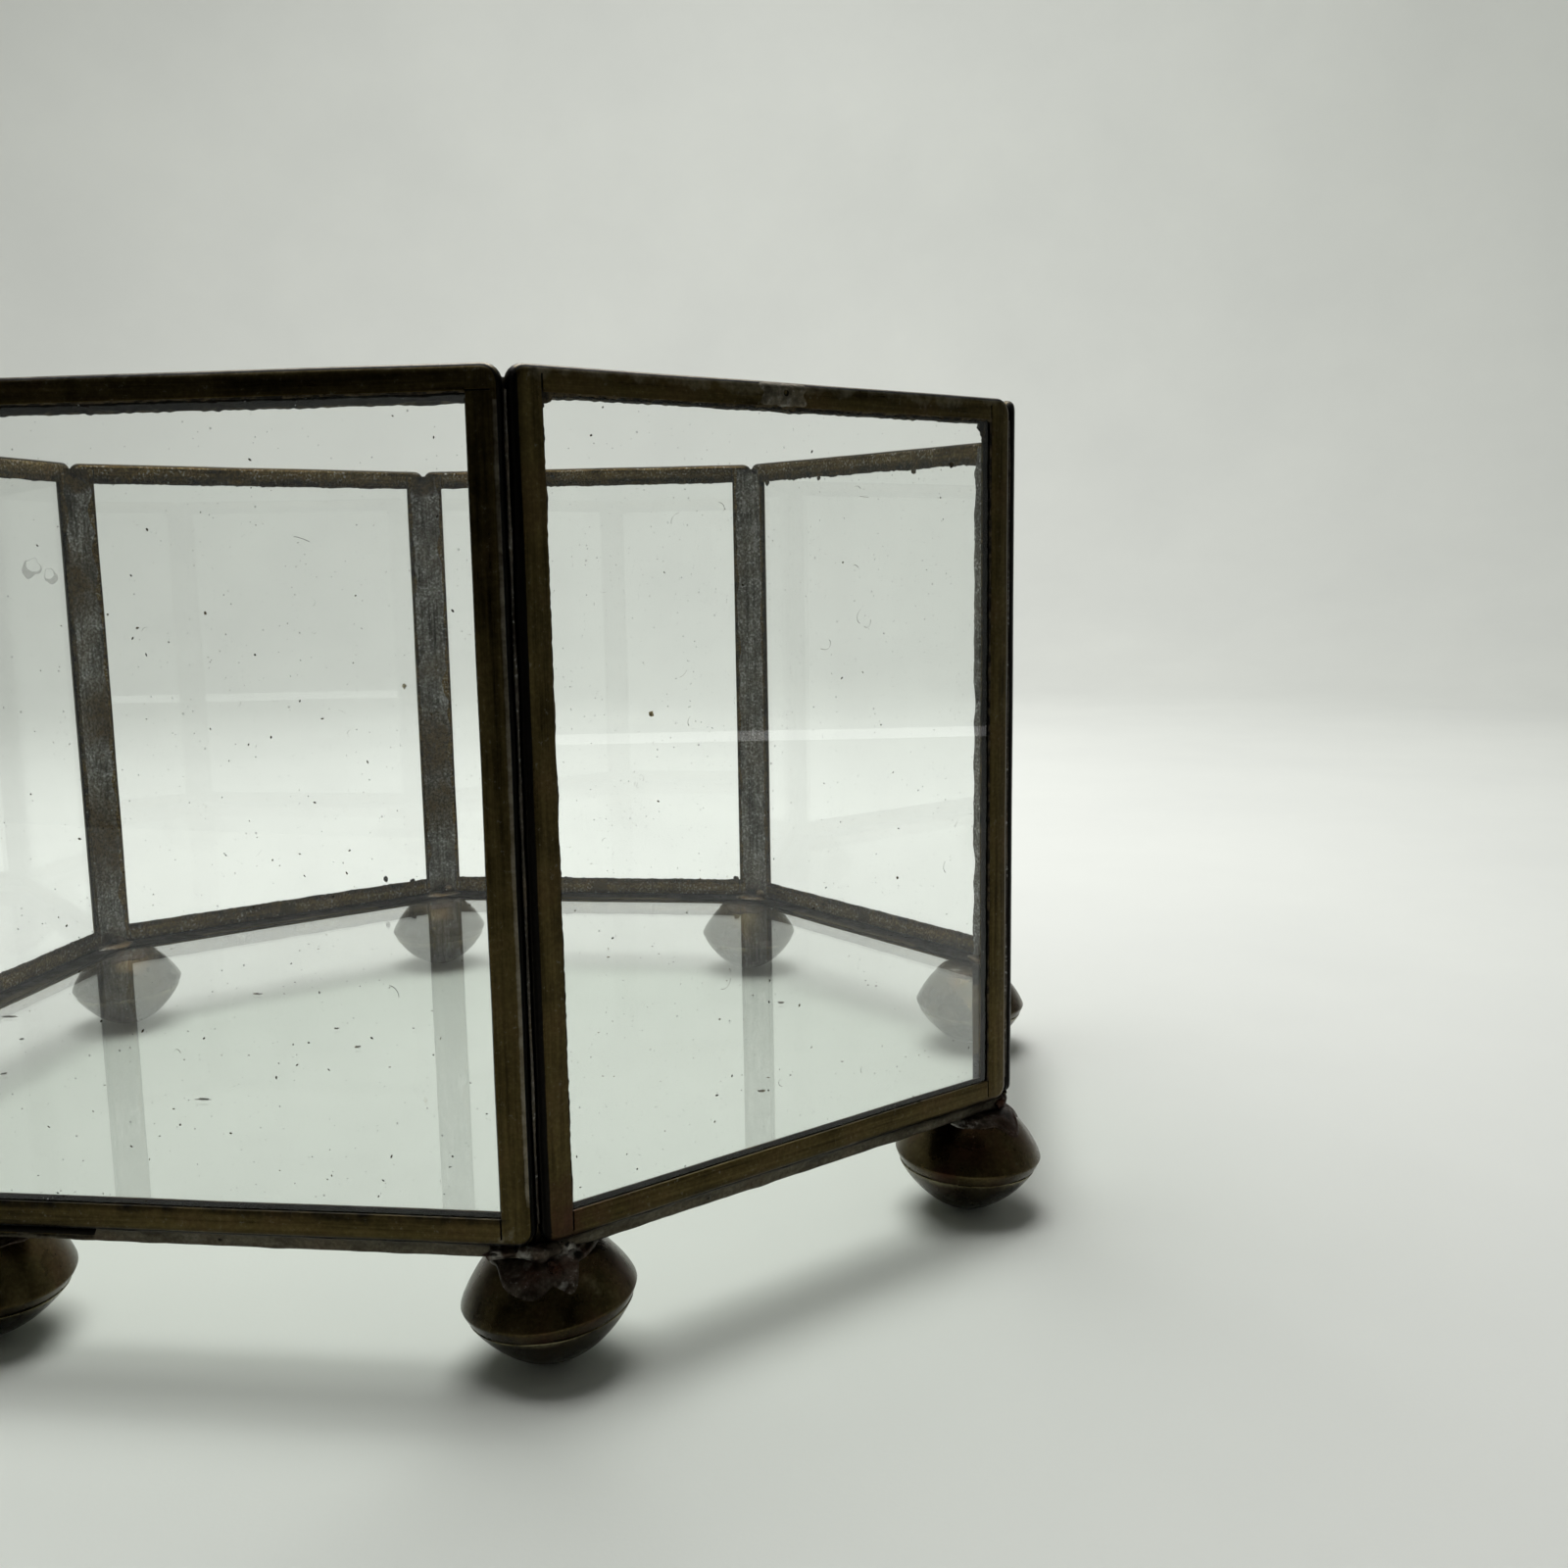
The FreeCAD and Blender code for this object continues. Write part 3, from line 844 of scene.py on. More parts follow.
def makeFloorRing():
    bm = bmesh.new()
    corner = turned(1, 0.5)
    low, high, thick = ringLow.z, ringHigh.z, ringShape["flange"]
    section = [
        (ringShape["reach"], low), (0, low), (0, high), (ringShape["reach"], high),
        (ringShape["reach"], high - thick), (ringShape["back"], high - thick),
        (ringShape["back"], low + thick), (ringShape["reach"], low + thick),
    ]
    ring = [bm.verts.new(corner @ Vector((0, -(ringApothem - depth) / cosHalf, z))) for depth, z in section]
    for index in range(len(ring)):
        bm.edges.new((ring[index], ring[index - 1]))
    spin(bm, wallCount)
    outside = ringApothem / cosHalf - 1e-4
    rims = []
    for edge in bm.edges:
        first, second = (vert.co for vert in edge.verts)
        if min(first.xy.length, second.xy.length) > outside and abs(first.z - second.z) < 1e-6:
            rims.append(edge)
    roundEdges(bm, rims, ringShape["round"], 4)
    longEdges = [edge for edge in bm.edges if edge.calc_length() > 0.03]
    bmesh.ops.subdivide_edges(bm, edges=longEdges, cuts=ringShape["cuts"], use_grid_fill=True)
    grimeAndShade = bm.verts.layers.float.new("grimeAndShade")
    # painted shade in the gap under the wall channels
    for vert in bm.verts:
        outer = vert.co.xy.length > ringApothem - ringShape["shadeReach"]
        vert[grimeAndShade] = ringShape["grimeAndShade"] if outer and vert.co.z > high - ringShape["shadeDepth"] else 0
    wander(bm.verts, ringShape["wander"], ringShape["spacing"], 21)
    addPiece(bm, "floorChannel", [ringBrass], ["floor_frame"], 38)


makeFloorRing()
print("floor channel made")


# bead feet


beadShape = {
    "radius": 0.00806,
    "halfHeight": 0.0065,
    "seamHeight": 0.0052,
    "restShare": 0.15,
    "bulge": 2.0,
    "power": 0.84,
    "steps": 18,
    "seamSteps": 7,
    "turns": 80,
    "lip": 0.00011,          # step of the lower cup's rim past the upper shell
    "dent": 0.00007,
    "dentSpacing": 0.004,
    "circle": 0.07211,       # distance of each foot from the middle
    "crown": 0.01130,        # the upper shell ends just under the floor channel
}
beadPose = {                 # sideways shift, sideways lean and forward lean of each listed foot
    1: ((0.0010, 0.0008), -4.5, 2.0),
    2: ((0.0, -0.0016), 3.0, 0.0),
    5: ((-0.0010, -0.0007), -1.5, 0.0),
    6: ((0.0003, -0.0003), -4.0, 0.0),
    8: ((0.0010, 0.0), 8.0, 2.0),
}
beadPaint = {  # kind, place from the bead's foot, radius, amount
    1: (
        ("wornAndSheen", (0.0058, -0.0034, 0.0088), 0.0034, 0.24), ("grimeAndShade", (0.0003, -0.0062, 0.0086), 0.0026, 0.30),
    ),
    2: (
        ("rust", (0.0010, -0.0066, 0.0085), 0.0040, 0.35), ("grimeAndShade", (0.0034, -0.0062, 0.0080), 0.0026, 0.30),
    ),
}


def domeHeight(share):
    return (1 - share ** beadShape["bulge"]) ** beadShape["power"]


def bellyRadius(height):  # radius of the lower half at a height
    fall = (1 - height / beadShape["halfHeight"]) ** (1 / beadShape["power"])
    return beadShape["radius"] * (1 - fall) ** (1 / beadShape["bulge"])


def upperProfile():
    radius, half, seam, lip = (beadShape[name] for name in ("radius", "halfHeight", "seamHeight", "lip"))
    rest, steps, seamSteps = (beadShape[name] for name in ("restShare", "steps", "seamSteps"))
    points = [(0, 2 * half)]
    for step in range(steps + 1):
        share = rest + (0.997 - rest) * (1 - (1 - step / steps) ** 1.8)  # closer together toward the belly
        points.append((radius * share, half * (1 + domeHeight(share))))
    points.append((radius, half))
    for step in range(1, seamSteps + 1):
        height = half + (seam - half) * step / seamSteps
        points.append((bellyRadius(height) - lip * 0.3 * step / seamSteps, height))
    points.append((bellyRadius(seam) - 3 * lip, seam - lip))
    return points


def lowerProfile():
    radius, half, seam, lip = (beadShape[name] for name in ("radius", "halfHeight", "seamHeight", "lip"))
    rest, steps, rim = beadShape["restShare"], beadShape["steps"], bellyRadius(seam)
    points = [(0, 0)]
    for step in range(steps + 1):
        share = rest + (rim / radius - rest) * step / steps
        points.append((radius * share + lip * (step / steps) ** 3, half * (1 - domeHeight(share))))
    points += [
        (rim + lip * 0.9, seam + lip * 0.7), (rim + lip * 0.2, seam + lip), (rim - 2 * lip, seam + lip * 0.6)
    ]
    return points


def beadMatrix(number):
    shift, lean, nod = beadPose.get(number, ((0, 0), 0, 0))
    ground = turned(number, 0.5) @ Vector((0, -beadShape["circle"], 0)) + Vector((*shift, 0))
    middle = Matrix.Translation((0, 0, beadShape["halfHeight"]))
    tilt = Matrix.Rotation(math.radians(nod), 4, "X") @ Matrix.Rotation(math.radians(lean), 4, "Y")
    return Matrix.Translation(ground) @ middle @ tilt @ middle.inverted()


def paintBead(bm, number, lower):
    # painted highlight on the cup's rim and a painted reflection of the lit floor fading down the cup, and
    # the solder has stained the near foot
    matrix = beadMatrix(number)
    middle = matrix @ Vector((0, 0, beadShape["seamHeight"]))
    axis = (matrix.to_3x3() @ Vector((0, 0, 1))).normalized()
    wornAndSheen = bm.verts.layers.float.new("wornAndSheen")
    rust = bm.verts.layers.float.new("rust")
    for vert in bm.verts:
        x, y, z = vert.co
        height = (vert.co - middle).dot(axis)
        if lower:
            # painted highlight on the rim, painted reflection fading below it
            rimSheen = 0.42 + 0.5 * rumble(x / 0.003, y / 0.003, number * 2.3)
            vert[wornAndSheen] = rimSheen if height > -0.00012 else max(0, 0.36 + height / 0.0045)
        vert[rust] = 0.15 + 0.35 * rumble(x / 0.004, y / 0.004, z / 0.004 + number)
    paintSpots(bm, beadPaint.get(number, ()), lambda point: matrix @ Vector(point))


def makeBead(number):
    for lower in (True, False):
        bm = bmesh.new()
        drawLine(bm, [(x, 0, z) for x, z in (lowerProfile() if lower else upperProfile())])
        spin(bm, beadShape["turns"])
        wander(bm.verts, beadShape["dent"], beadShape["dentSpacing"], number * 2 + lower)
        bmesh.ops.transform(bm, matrix=beadMatrix(number), verts=bm.verts)
        if lower:
            rise = min(vert.co.z for vert in bm.verts)
        else:
            everything = bm.verts[:] + bm.edges[:] + bm.faces[:]
            cut = bmesh.ops.bisect_plane(
                bm, geom=everything, dist=1e-7, plane_co=(0, 0, beadShape["crown"]), plane_no=(0, 0, 1),
                clear_outer=True,
            )
            rim = [edge for edge in cut["geom_cut"] if isinstance(edge, bmesh.types.BMEdge)]
            bmesh.ops.contextual_create(bm, geom=rim)
        bmesh.ops.translate(bm, vec=(0, 0, -rise), verts=bm.verts)
        paintBead(bm, number, lower)
        kind = "lower" if lower else "upper"
        addPiece(bm, f"{kind}Bead{number}", [beadBrass], [f"foot_{kind}_shell_{number}"], 38)


for number in range(1, wallCount + 1):
    makeBead(number)
print("bead feet made")


# solder and dirt


cornerTip = -wallInner / cosHalf        # the inner corner between two walls, for a corner that faces -Y
ringCorner = -ringApothem / cosHalf     # the same for the floor channel's outer corner

stripShape = {
    "reach": 0.0028, "wide": {3: 0.0012}, "ragged": {5: 0.0016, 6: 0.0014},
    "raggedElse": 0.0008, "nibble": 0.0002,
    "thick": 0.00022, "fill": 0.00068, "sunk": 0.00006, "lump": 0.00016, "lumpSpacing": 0.0017,
    "topDrop": 0.0009, "frontDrops": {1: 0.0011, 2: 0.0007, 8: 0.0007}, "around": 32, "along": 170,
}
saddleLumps = (  # drops of solder on the floor channel at the strip's foot: place, radii, seed
    ((0.0003, 0.0016, 0.00005), (0.0031, 0.0017, 0.00055), 3.1),
    ((-0.0009, 0.0009, 0.0006), (0.0011, 0.0008, 0.0010), 5.7),
)
stripPaint = {  # kind, place (across the corner, inward from it, height), radius, amount
    "all": (("rust", (0.0, 0.0016, 0.0128), 0.0042, 0.55), ("grimeAndShade", (0.0004, 0.0012, 0.0134), 0.0030, 0.50)),
    5: (
        ("rust", (0.0004, 0.0012, 0.0870), 0.0036, 0.8), ("grimeAndShade", (0.0004, 0.0012, 0.0872), 0.0022, 0.5),
        ("wornAndSheen", (-0.0012, 0.0012, 0.0795), 0.0012, 0.5), ("rust", (-0.0006, 0.0012, 0.0540), 0.0045, 0.35),
        ("grimeAndShade", (0.0003, 0.0012, 0.0660), 0.0012, 0.4), ("rust", (0.0014, 0.0012, 0.0400), 0.0090, 0.55),
        ("rust", (0.0002, 0.0012, 0.0300), 0.0080, 0.45),
    ),
    6: (
        ("rust", (0.0, 0.0012, 0.0868), 0.0038, 0.8), ("grimeAndShade", (0.0, 0.0012, 0.0872), 0.0022, 0.5),
        ("rust", (0.0020, 0.0012, 0.0300), 0.0120, 0.50), ("rust", (0.0022, 0.0012, 0.0700), 0.0080, 0.50),
        ("rust", (-0.0022, 0.0012, 0.0500), 0.0080, 0.50), ("grimeAndShade", (0.0009, 0.0012, 0.0700), 0.0016, 0.4),
        ("grimeAndShade", (0.0, 0.0012, 0.0842), 0.0009, 0.35),
    ),
}


def cornerStrip(bm, number):
    # solder run up the inner corner
    low, high = wallBottom - 0.0001, wallTop - stripShape["frontDrops"].get(number, stripShape["topDrop"])
    widest = stripShape["reach"] + stripShape["wide"].get(number, 0)
    ragged = stripShape["ragged"].get(number, stripShape["raggedElse"])

    def skin(a, t):
        z = low + t * (high - low)
        hidden = a >= 0.5
        share = 3 - 4 * a if hidden else 4 * a - 1  # from -1 to 1 across the strip
        reach = widest - ragged * abs(rumble(number * 7, share > 0, z / 0.006))
        reach -= stripShape["nibble"] * abs(rumble(number * 3, share > 0, z / 0.0009))
        along = abs(share) * reach
        if hidden:
            y = cornerTip + along * sinHalf - stripShape["sunk"] * cosHalf
        else:
            bumps = rumble(share * 1.6 + number * 9, z / stripShape["lumpSpacing"], number)
            rise = (
                stripShape["thick"] * (1 - share ** 6) - 0.00002
                + stripShape["lump"] * bumps * (1 - share ** 4)
            )
            fill = (
                stripShape["fill"] + 0.00012 * rumble(number, share, z / 0.005)
                + 0.5 * stripShape["lump"] * bumps
            )
            y = max(cornerTip + along * sinHalf + rise * cosHalf, cornerTip + fill)
        return Vector((math.copysign(along * cosHalf, share), y, z))

    sleeve(bm, stripShape["around"], stripShape["along"], skin)


def makeCornerSolder(number):
    bm = bmesh.new()
    cornerStrip(bm, number)
    for (x, y, z), radii, seed in saddleLumps:
        lump(bm, (x, cornerTip + y, wallBottom + z), radii, number * seed)
    spots = stripPaint["all"] + stripPaint.get(number, ())
    paintSpots(bm, spots, lambda point: Vector((point[0], cornerTip + point[1], point[2])))
    bmesh.ops.transform(bm, matrix=turned(number, 0.5), verts=bm.verts)
    addPiece(bm, f"cornerStrip{number}", [stripSolder], [f"corner_solder_{number}"])


grooveShape = {"radius": 0.00015, "end": 0.0022, "inset": 0.0002, "drift": 0.00006, "around": 8, "along": 160}


def makeGrooveLines():
    bm = bmesh.new()
    depth = -(wallInner + wallOuter) / 2 / cosHalf - grooveShape["inset"]
    low, high = wallBottom + grooveShape["end"], wallTop - grooveShape["end"]
    for number in range(1, wallCount + 1):

        def skin(a, t):
            z = low + t * (high - low)
            swell = 1 + 0.7 * rumble(number * 4, z / 0.006) + 0.15 * rumble(z / 0.0011, number)
            radius, angle = grooveShape["radius"] * swell, math.tau * a
            x = grooveShape["drift"] * rumble(number * 8, z / 0.009) + radius * math.cos(angle)
            return turned(number, 0.5) @ Vector((x, depth + 1.3 * radius * math.sin(angle), z))

        sleeve(bm, grooveShape["around"], grooveShape["along"], skin)
    addPiece(bm, "grooveLines", [grooveSolder], ["groove_solder"])


baseShape = {
    "coat": 0.00012, "lip": 0.00062, "drop": 0.0002, "sunk": 0.00005, "end": 0.0287, "open": 0.00095,
    "frontShare": 0.62,      # share of each round that is the outer face
    "around": 22, "along": 190, "pitRadius": 0.00026, "pitDepth": 0.00007,
}
baseOpenings = {1: ((-0.0300, -0.0121), (0.02475, 0.0300))}
basePits = {
    1: ((0.0033, 0.0120), (-0.0005, 0.0122), (0.0146, 0.0124)),
    2: ((-0.011, 0.0121), (0.0085, 0.0123)),
}


def openShare(number, u):  # 1 where no solder bridges the wall's edge and the floor channel
    shares = [
        limited(min(u - first, last - u) / 0.0006, 0, 1) for first, last in baseOpenings.get(number, ())
    ]
    return max(shares, default=0)


def baseSkin(number, a, t):
    u = (2 * t - 1) * baseShape["end"]
    gap = openShare(number, u)
    low = ringLow.z + baseShape["drop"] + 0.00012 * rumble(number * 5, u / 0.003)
    high = wallBottom + 0.00018 - gap * (baseShape["open"] + 0.0001 * rumble(number, u / 0.002))
    out = -baseShape["sunk"]
    if a < baseShape["frontShare"]:
        v = a / baseShape["frontShare"]
        if v >= 0.04:
            lip = baseShape["lip"] * (1 + 0.22 * rumble(number * 2, u / 0.004)) * (1 - gap)
            out = (
                baseShape["coat"] * math.sin(math.pi * min(1, 0.12 + v))
                + lip * max(0, v - 0.35) ** 2 / 0.42
            )
            out += (
                0.00006 * rumble(number + v * 2, u / 0.0013, v) + 0.00005 * rumble(u / 0.0005, v * 4, number)
            )
    else:
        v = (1 - a) / (1 - baseShape["frontShare"])
    z = low + v * (high - low)
    for pitU, pitZ in basePits.get(number, ()):
        share = math.hypot(u - pitU, z - pitZ) / baseShape["pitRadius"]
        if share < 1:
            out -= baseShape["pitDepth"] * (1 - share * share)
    return Vector((u, -ringApothem - out, z))


def makeBaseSolder():
    bm = bmesh.new()
    pits = []
    for number in range(1, wallCount + 1):
        matrix = turned(number)
        sleeve(bm, baseShape["around"], baseShape["along"], lambda a, t: matrix @ baseSkin(number, a, t))
        pits += [(matrix @ Vector((u, -ringApothem, z)), 0.0004, 0.5) for u, z in basePits.get(number, ())]
    # painted shade in the pits
    paint(bm, "grimeAndShade", pits)
    addPiece(bm, "baseSolder", [tinnedSolder], ["base_solder"])


footShape = {
    "edge": 0.0050, "ragged": 0.0004, "topRadius": 0.0043, "thick": 0.00016, "top": 0.00015,
    "around": 96, "steps": 20,
}
footPaint = {  # kind, place (across the corner, out from it, height), radius, amount
    1: (
        ("wornAndSheen", (-0.0036, -0.0012, 0.0118), 0.0014, 0.45), ("wornAndSheen", (-0.0014, 0.0002, 0.0117), 0.0013, 0.42),
        ("wornAndSheen", (0.0028, -0.0006, 0.0118), 0.0013, 0.42), ("wornAndSheen", (0.0018, 0.0016, 0.0096), 0.0007, 0.45),
        ("rust", (-0.0008, 0.0006, 0.0106), 0.0018, 0.40), ("rust", (0.0012, 0.0008, 0.0108), 0.0016, 0.50),
        ("rust", (-0.0028, -0.0004, 0.0103), 0.0018, 0.35),
        ("grimeAndShade", (-0.0022, 0.0002, 0.0099), 0.0016, 0.40),
        ("grimeAndShade", (0.0034, -0.0004, 0.0112), 0.0009, 0.60),
    ),
    2: (("rust", (0.0, 0.0, 0.0112), 0.0060, 0.55), ("grimeAndShade", (-0.0014, 0.0008, 0.0112), 0.0020, 0.45)),
    8: (("rust", (0.0, 0.0, 0.0112), 0.0060, 0.45), ("grimeAndShade", (0.0010, 0.0008, 0.0112), 0.0020, 0.35)),
}
cornerLump = {1: (0.0020, 0.000875, 0.00085)}  # radii of the drop on the floor channel's corner
cornerLumpElse = (0.00136, 0.000595, 0.00085)
footLumps = {  # smaller drops: across the corner, inward from it, height, radii, seed, roughness
    1: (
        ((-0.0023, 0.0011, 0.0122), (0.0024, 0.00055, 0.0006), 4.4, 0.5),
        ((0.0011, 0.0002, 0.0119), (0.0007, 0.0005, 0.0009), 8.1, 0.6),
        ((0.0019, 0.0006, 0.0120), (0.0006, 0.0005, 0.0007), 3.6, 0.6),
        ((0.0012, -0.0006, 0.0109), (0.0005, 0.0005, 0.0006), 6.1, 0.6),
        ((0.0026, 0.0011, 0.0119), (0.0008, 0.0005, 0.0006), 9.6, 0.5),
    ),
}
footLobes = {  # azimuth in degrees (0 faces away from the middle), half width, how far it runs down the bead
    1: ((-22, 44, 0.0016), (15, 17, 0.0018)),
    2: ((-6, 30, 0.0010), (40, 22, 0.0007)),
    5: ((20, 30, 0.0009),),
    8: ((-30, 24, 0.0007),),
}


def footEdge(number, angle):
    edge = footShape["edge"] + footShape["ragged"] * rumble(
        number * 3, 2.2 * math.cos(angle), 2.2 * math.sin(angle)
    )
    for middle, width, run in footLobes.get(number, ()):
        apart = abs((math.degrees(angle) - middle + 180) % 360 - 180) / width
        if apart < 1:
            edge += run * (1 - apart * apart) ** 2
    return edge


def beadSurface(radius):
    share = min(0.999, radius / beadShape["radius"])
    return beadShape["halfHeight"] * (1 + domeHeight(share))


def footSkin(number, a, t):
    # coat from its ragged lower edge on the bead, up to the floor channel
    angle = math.tau * a
    edge = footEdge(number, angle)
    radius = edge + (footShape["topRadius"] - edge) * t
    ceiling = ringLow.z + footShape["top"]
    swell = 1 + 0.7 * rumble(number, 3 * math.cos(angle) + t * 2, 3 * math.sin(angle))
    cover = footShape["thick"] * min(1, t * 7) * swell
    z = min(min(beadSurface(radius), ceiling) + cover - 0.00004, ceiling + 0.0002 * t)
    radius += cover * 0.5
    return Vector((radius * math.sin(angle), -radius * math.cos(angle), z))


def makeFootSolder(number):
    bm = bmesh.new()
    sleeve(bm, footShape["around"], footShape["steps"], lambda a, t: footSkin(number, a, t))
    pose = beadMatrix(number) @ Matrix.Rotation((number - 0.5) * wallStep, 4, "Z")
    bmesh.ops.transform(bm, matrix=pose, verts=bm.verts)
    corner = turned(number, 0.5)
    drops = [((0, 0.0002, 0.0122), cornerLump.get(number, cornerLumpElse), number * 2.3, 0.4)]
    for (x, y, z), radii, seed, rough in (*drops, *footLumps.get(number, ())):
        verts = lump(bm, (x, ringCorner + y, z), radii, seed, rough)
        bmesh.ops.transform(bm, matrix=corner, verts=verts)
    paintSpots(
        bm, footPaint.get(number, ()),
        lambda spot: corner @ Vector((spot[0], ringCorner - spot[1], spot[2]))
    )
    addPiece(bm, f"footSolder{number}", [lumpSolder], [f"foot_solder_{number}"])


seamShape = {  # middle, half length, lower and upper edge and thickness of the patch over each frame's joint
    "top": {"middle": -0.0010, "half": 0.0027, "low": 0.0862, "high": 0.0884, "thick": 0.00011},
    "bottom": {"middle": 0.0, "half": 0.0016, "low": 0.0134, "high": 0.0152, "thick": 0.00005},
}
seamPit = {"place": (-0.00076, 0.08745), "radius": 0.00055, "depth": 0.00012}  # in the patch on the top rail


def seamSkin(number, shape, face, a, t):
    side = -1 if face < wallMiddle.y else 1
    u = shape["middle"] + (2 * t - 1) * shape["half"] * (1 + 0.35 * rumble(number, a * 6))
    v = 2 * a if a < 0.5 else 2 - 2 * a
    z = shape["low"] + v * (shape["high"] - shape["low"]) + 0.0001 * rumble(number, u / 0.0008)
    cover = -0.00005
    if a < 0.5:
        crown = max(0, 1 - (2 * t - 1) ** 6) * max(0, 1 - (2 * v - 1) ** 6)
        cover += shape["thick"] * crown * (1 + 0.8 * rumble(u / 0.0007, z / 0.0007, number)) + 0.00004 * crown
        pit = math.hypot(u - seamPit["place"][0], z - seamPit["place"][1]) / seamPit["radius"]
        if shape is seamShape["top"] and pit < 1:
            cover -= seamPit["depth"] * (1 - pit * pit)
    curve = channelLook["backRound"]  # the channel's back rounds away from the face
    bend = max(0, z - (wallTop - curve)) / curve
    y = face + side * cover - side * curve * (1 - math.sqrt(max(0, 1 - bend * bend)))
    return Vector((u, y, z))


def makeSeams():
    bm = bmesh.new()
    for number in range(1, wallCount + 1):
        shape = seamShape["top" if number == 2 else "bottom"]
        matrix = turned(number)
        for face in (wallLow.y, wallHigh.y):
            sleeve(bm, 44, 60, lambda a, t: matrix @ seamSkin(number, shape, face, a, t))
    pitU, pitZ = seamPit["place"]
    # painted shade in the pit
    paint(bm, "grimeAndShade", [(turned(2) @ Vector((pitU, wallLow.y, pitZ)), 0.0004, 0.9)])
    for face in bm.faces:
        face.material_index = 0 if face.calc_center_median().z > wallMiddle.z else 1
    addPiece(bm, "frameSeams", [seamSolder, railBrass], ["frame_seam_solder"])


crustShape = {
    "radius": 0.00012, "swing": 0.00020, "fine": 0.0006, "coarse": 0.0035, "around": 8, "along": 190,
}
crustRuns = {  # on each wall: side of the channel and window edge that carry a crumbly line of dried cement
    1: (("outer", "top", 0.6), ("inner", "top", 0.8), ("outer", "left", 0.5)),
    2: (("outer", "top", 1.0), ("inner", "top", 0.7), ("outer", "left", 0.7), ("outer", "right", 0.6)),
    3: (("inner", "top", 0.7),),
    4: (("inner", "top", 1.5), ("inner", "bottom", 0.5)),
    5: (("inner", "top", 0.9), ("inner", "bottom", 0.9)),
    6: (("inner", "top", 1.0), ("inner", "bottom", 0.6)),
    7: (("inner", "top", 0.8), ("inner", "bottom", 0.7)),
    8: (("inner", "top", 0.8),),
}
cornerCrumbs = {  # crumbs of cement and solder: along the wall, height, side of the channel, size
    1: ((0.0262, 0.0855, "outer", 0.0002), (-0.0252, 0.0852, "inner", 0.0004)),
    2: (
        (0.0256, 0.0856, "inner", 0.0006), (0.0258, 0.0849, "inner", 0.0004),
        (0.0259, 0.0842, "inner", 0.0003), (-0.0259, 0.0859, "outer", 0.0006),
        (-0.0254, 0.0862, "outer", 0.0004), (-0.0262, 0.0852, "outer", 0.0003),
    ),
    4: (
        (0.0243, 0.0853, "inner", 0.0006), (0.0105, 0.0853, "inner", 0.0004),
        (-0.0120, 0.0852, "inner", 0.0005),
    ),
    5: (
        (0.0053, 0.0152, "inner", 0.0005), (0.0061, 0.0157, "inner", 0.0004),
        (-0.0090, 0.0149, "inner", 0.0006), (-0.0250, 0.0160, "inner", 0.0005),
    ),
    6: ((-0.0013, 0.0152, "inner", 0.0004), (-0.0230, 0.0158, "inner", 0.0005)),
}


def crustSkin(number, side, edge, amount, a, t):
    left, right, bottom, top = windowOf(number, side)
    (startX, startZ), (endX, endZ) = {
        "top": ((left, top), (right, top)), "bottom": ((left, bottom), (right, bottom)),
        "left": ((left, bottom), (left, top)), "right": ((right, bottom), (right, top)),
    }[edge]
    x, z = startX + (endX - startX) * t, startZ + (endZ - startZ) * t
    along = x + z + number * 3
    crumbs = (
        rumble(along / crustShape["fine"], number) * 0.6
        + rumble(along / crustShape["coarse"], number * 5) * 0.8
    )
    radius = crustShape["radius"] * 0.6 + amount * crustShape["swing"] * max(0, 0.25 + crumbs)
    angle = math.tau * a
    flat = radius * 1.4 * math.cos(angle)
    y = (halfY - channelLook["flange"] * 0.6) * side + min(radius, crustShape["radius"]) * math.sin(angle)
    return Vector((x, y, z + flat)) if edge in ("top", "bottom") else Vector((x + flat, y, z))


def makeCrust(number):
    bm = bmesh.new()
    sides = {"outer": -1, "inner": 1}
    around, along = crustShape["around"], crustShape["along"]
    for face, edge, amount in crustRuns[number]:
        sleeve(bm, around, along, lambda a, t: crustSkin(number, sides[face], edge, amount, a, t))
    for u, z, face, size in cornerCrumbs.get(number, ()):
        y = sides[face] * (halfY - 0.0002)
        lump(bm, (u, y, z - wallMiddle.z), (size, 0.00015, size), u * 900 + number, 0.35)
    bmesh.ops.translate(bm, vec=wallMiddle, verts=bm.verts)
    bmesh.ops.transform(bm, matrix=turned(number), verts=bm.verts)
    addPiece(bm, f"crust{number}", [crust])


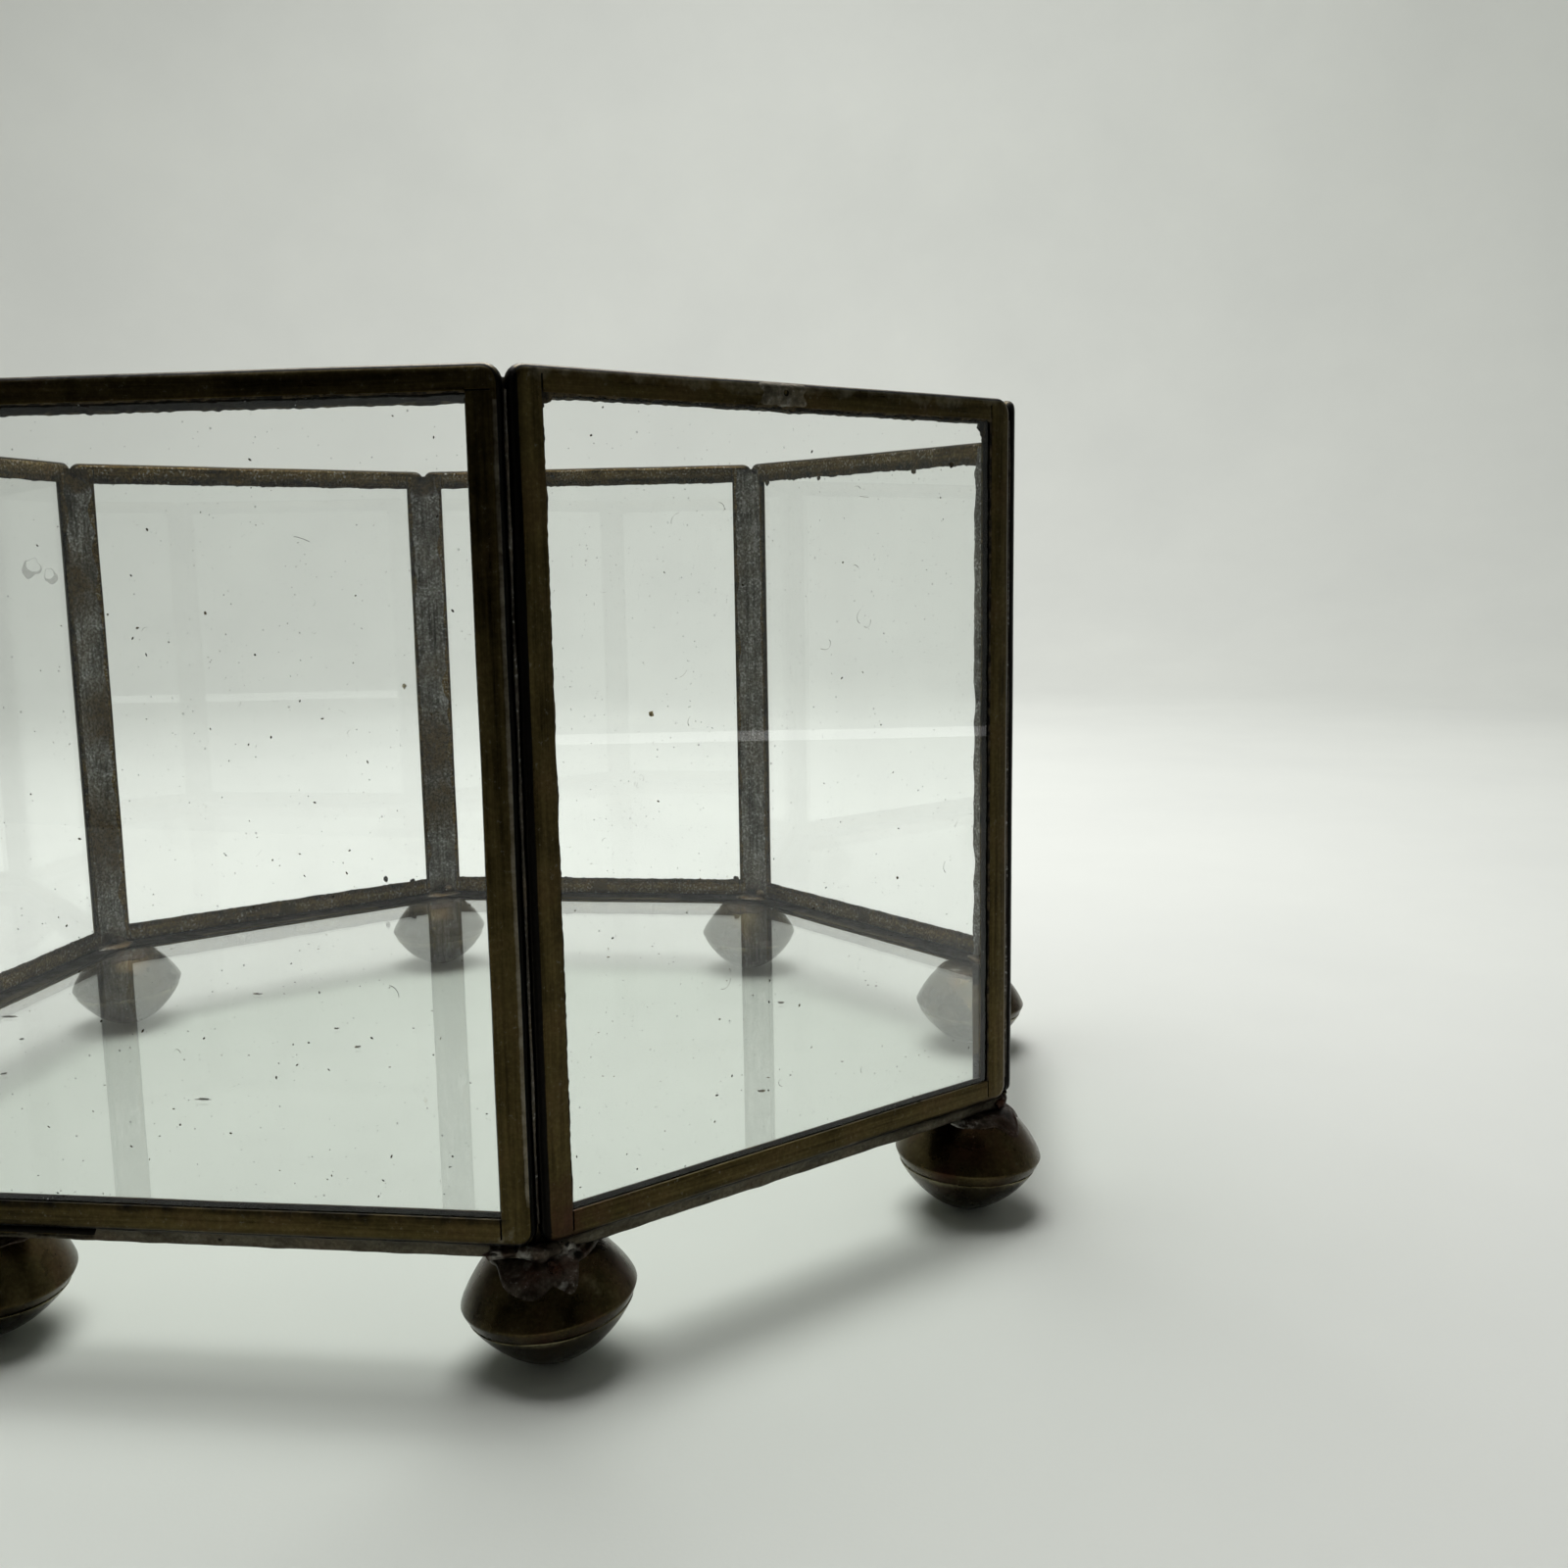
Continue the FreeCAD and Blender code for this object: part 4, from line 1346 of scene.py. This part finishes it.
paneDirt = {
    "marks": (  # wall, along it, height, radius and finish (0 dirt, 1 sand) of specks that catch the eye
        (1, 0.0026, 0.0686, 0.00011, 0), (6, -0.02375, 0.0510, 0.00035, 1), (6, -0.0183, 0.0168, 0.0004, 0),
        (2, -0.0163, 0.0590, 0.00020, 1), (2, 0.0130, 0.0400, 0.00012, 0), (2, 0.0205, 0.0815, 0.00022, 0),
    ),
    "floorMarks": (  # on the floor pane: place, half length and half width
        (0.0430, -0.0290, 0.0004, 0.0003), (-0.0196, -0.0366, 0.0008, 0.0002),
        (-0.0333, 0.0048, 0.0006, 0.0002), (-0.0094, -0.0171, 0.0003, 0.0003),
        (-0.0623, -0.0081, 0.0010, 0.0003), (-0.0545, -0.0173, 0.0003, 0.0002),
        (-0.0483, -0.0301, 0.0003, 0.0003), (0.0410, 0.0057, 0.0004, 0.0003),
        (0.0117, 0.0276, 0.0002, 0.0002), (-0.0152, -0.0099, 0.0003, 0.0002),
    ),
    "floorGrains": 70, "grainSizes": (0.00006, 0.00016), "grainSpread": 0.058,
    "specks": 260, "speckWalls": (1, 1, 1, 2, 2, 5, 6), "speckSizes": (0.00004, 0.00010),
    "speckReach": 0.0255,
    "hairs": 40, "hairWalls": (1, 2, 2, 5, 6), "hairLength": 0.0014, "hairRadius": 0.000018,
    "drops": (  # dried on wall 1: along it, height, radius, width of the crescent and where it is widest
        (-0.01272, 0.07266, 0.00070, 0.00032, 240), (-0.01116, 0.07196, 0.00052, 0.00022, 305),
    ),
}


def addMarks(bm):  # specks and stains at known places
    for number, u, z, size, finish in paneDirt["marks"]:
        middle = turned(number) @ Vector((u, -paneFace, z))
        verts = lump(bm, middle, (size, size * 0.5, size * 1.2), u * 1000, 0.7)
        for face in {face for vert in verts for face in vert.link_faces}:
            face.material_index = finish
    for x, y, long, wide in paneDirt["floorMarks"]:
        lump(bm, (x, y, floorTop + 0.00004), (long, wide, 0.00008), x * 1000, 0.7)


def addHair(bm, number, u, z, heading, bend, length):
    def skin(a, t):
        way, angle = heading + bend * t, math.tau * a
        middle = Vector((u + length * t * math.cos(way), -paneFace - 0.00001, z + length * t * math.sin(way)))
        ring = Vector((math.cos(angle), math.sin(angle), math.cos(angle))) * paneDirt["hairRadius"]
        return turned(number) @ (middle + ring)

    sleeve(bm, 5, 14, skin)


def makePaneDirt():
    bm = bmesh.new()
    chance = random.Random(5)
    addMarks(bm)
    spread, reach = paneDirt["grainSpread"], paneDirt["speckReach"]
    for index in range(paneDirt["floorGrains"]):
        size = chance.uniform(*paneDirt["grainSizes"])
        x, y = chance.uniform(-spread, spread), chance.uniform(-spread, spread)
        if math.hypot(x, y) < spread:
            lump(bm, (x, y, floorTop + 0.00003), (size, size * 0.7, 0.00005), index, 0.7)
    for index in range(paneDirt["specks"]):
        number = chance.choice(paneDirt["speckWalls"])
        size, heading = chance.uniform(*paneDirt["speckSizes"]), chance.uniform(0, math.pi)
        u, z = chance.uniform(-reach, reach), 0.0155 + 0.070 * chance.random() ** 1.3
        verts = lump(bm, (0, 0, 0), (size * chance.uniform(1, 2.4), size * 0.4, size), index, 0.5, 1)
        middle = Matrix.Translation(turned(number) @ Vector((u, -paneFace, z)))
        bmesh.ops.transform(
            bm, matrix=middle @ turned(number) @ Matrix.Rotation(heading, 4, "Y"), verts=verts
        )
    for index in range(paneDirt["hairs"]):
        number = chance.choice(paneDirt["hairWalls"])
        u, z = chance.uniform(-0.022, 0.022), chance.uniform(0.018, 0.080)
        heading, bend = chance.uniform(0, math.tau), chance.uniform(-2.2, 2.2)
        addHair(bm, number, u, z, heading, bend, paneDirt["hairLength"] * chance.uniform(0.4, 1))
    addPiece(bm, "paneSpecks", [dirt, sand])


def makeDriedDrops():
    # thin crescents of lime, widest where the drop dried last
    bm = bmesh.new()
    for index, (u, z, radius, width, heading) in enumerate(paneDirt["drops"]):

        def skin(a, t):
            turn, angle = math.tau * t, math.tau * a
            uneven = rumble(1.3 * math.cos(turn), 1.3 * math.sin(turn), index + 4)
            facing = (1 + math.cos(turn - math.radians(heading))) / 2
            band = 0.00002 + width * facing ** 2 * (1 + 0.8 * uneven)
            reach = radius * (1 + 0.35 * uneven) + band * math.cos(angle)
            y = -paneFace - 0.00002 * math.sin(angle)
            return turned(1) @ Vector((u + reach * math.cos(turn), y, z + reach * math.sin(turn)))

        sleeve(bm, 8, 90, skin)
    addPiece(bm, "driedDrops", [driedLime])


for number in range(1, wallCount + 1):
    makeCornerSolder(number)
    makeFootSolder(number)
    makeCrust(number)
makePaneDirt()
makeDriedDrops()
makeGrooveLines()
makeBaseSolder()
makeSeams()
print("solder made")
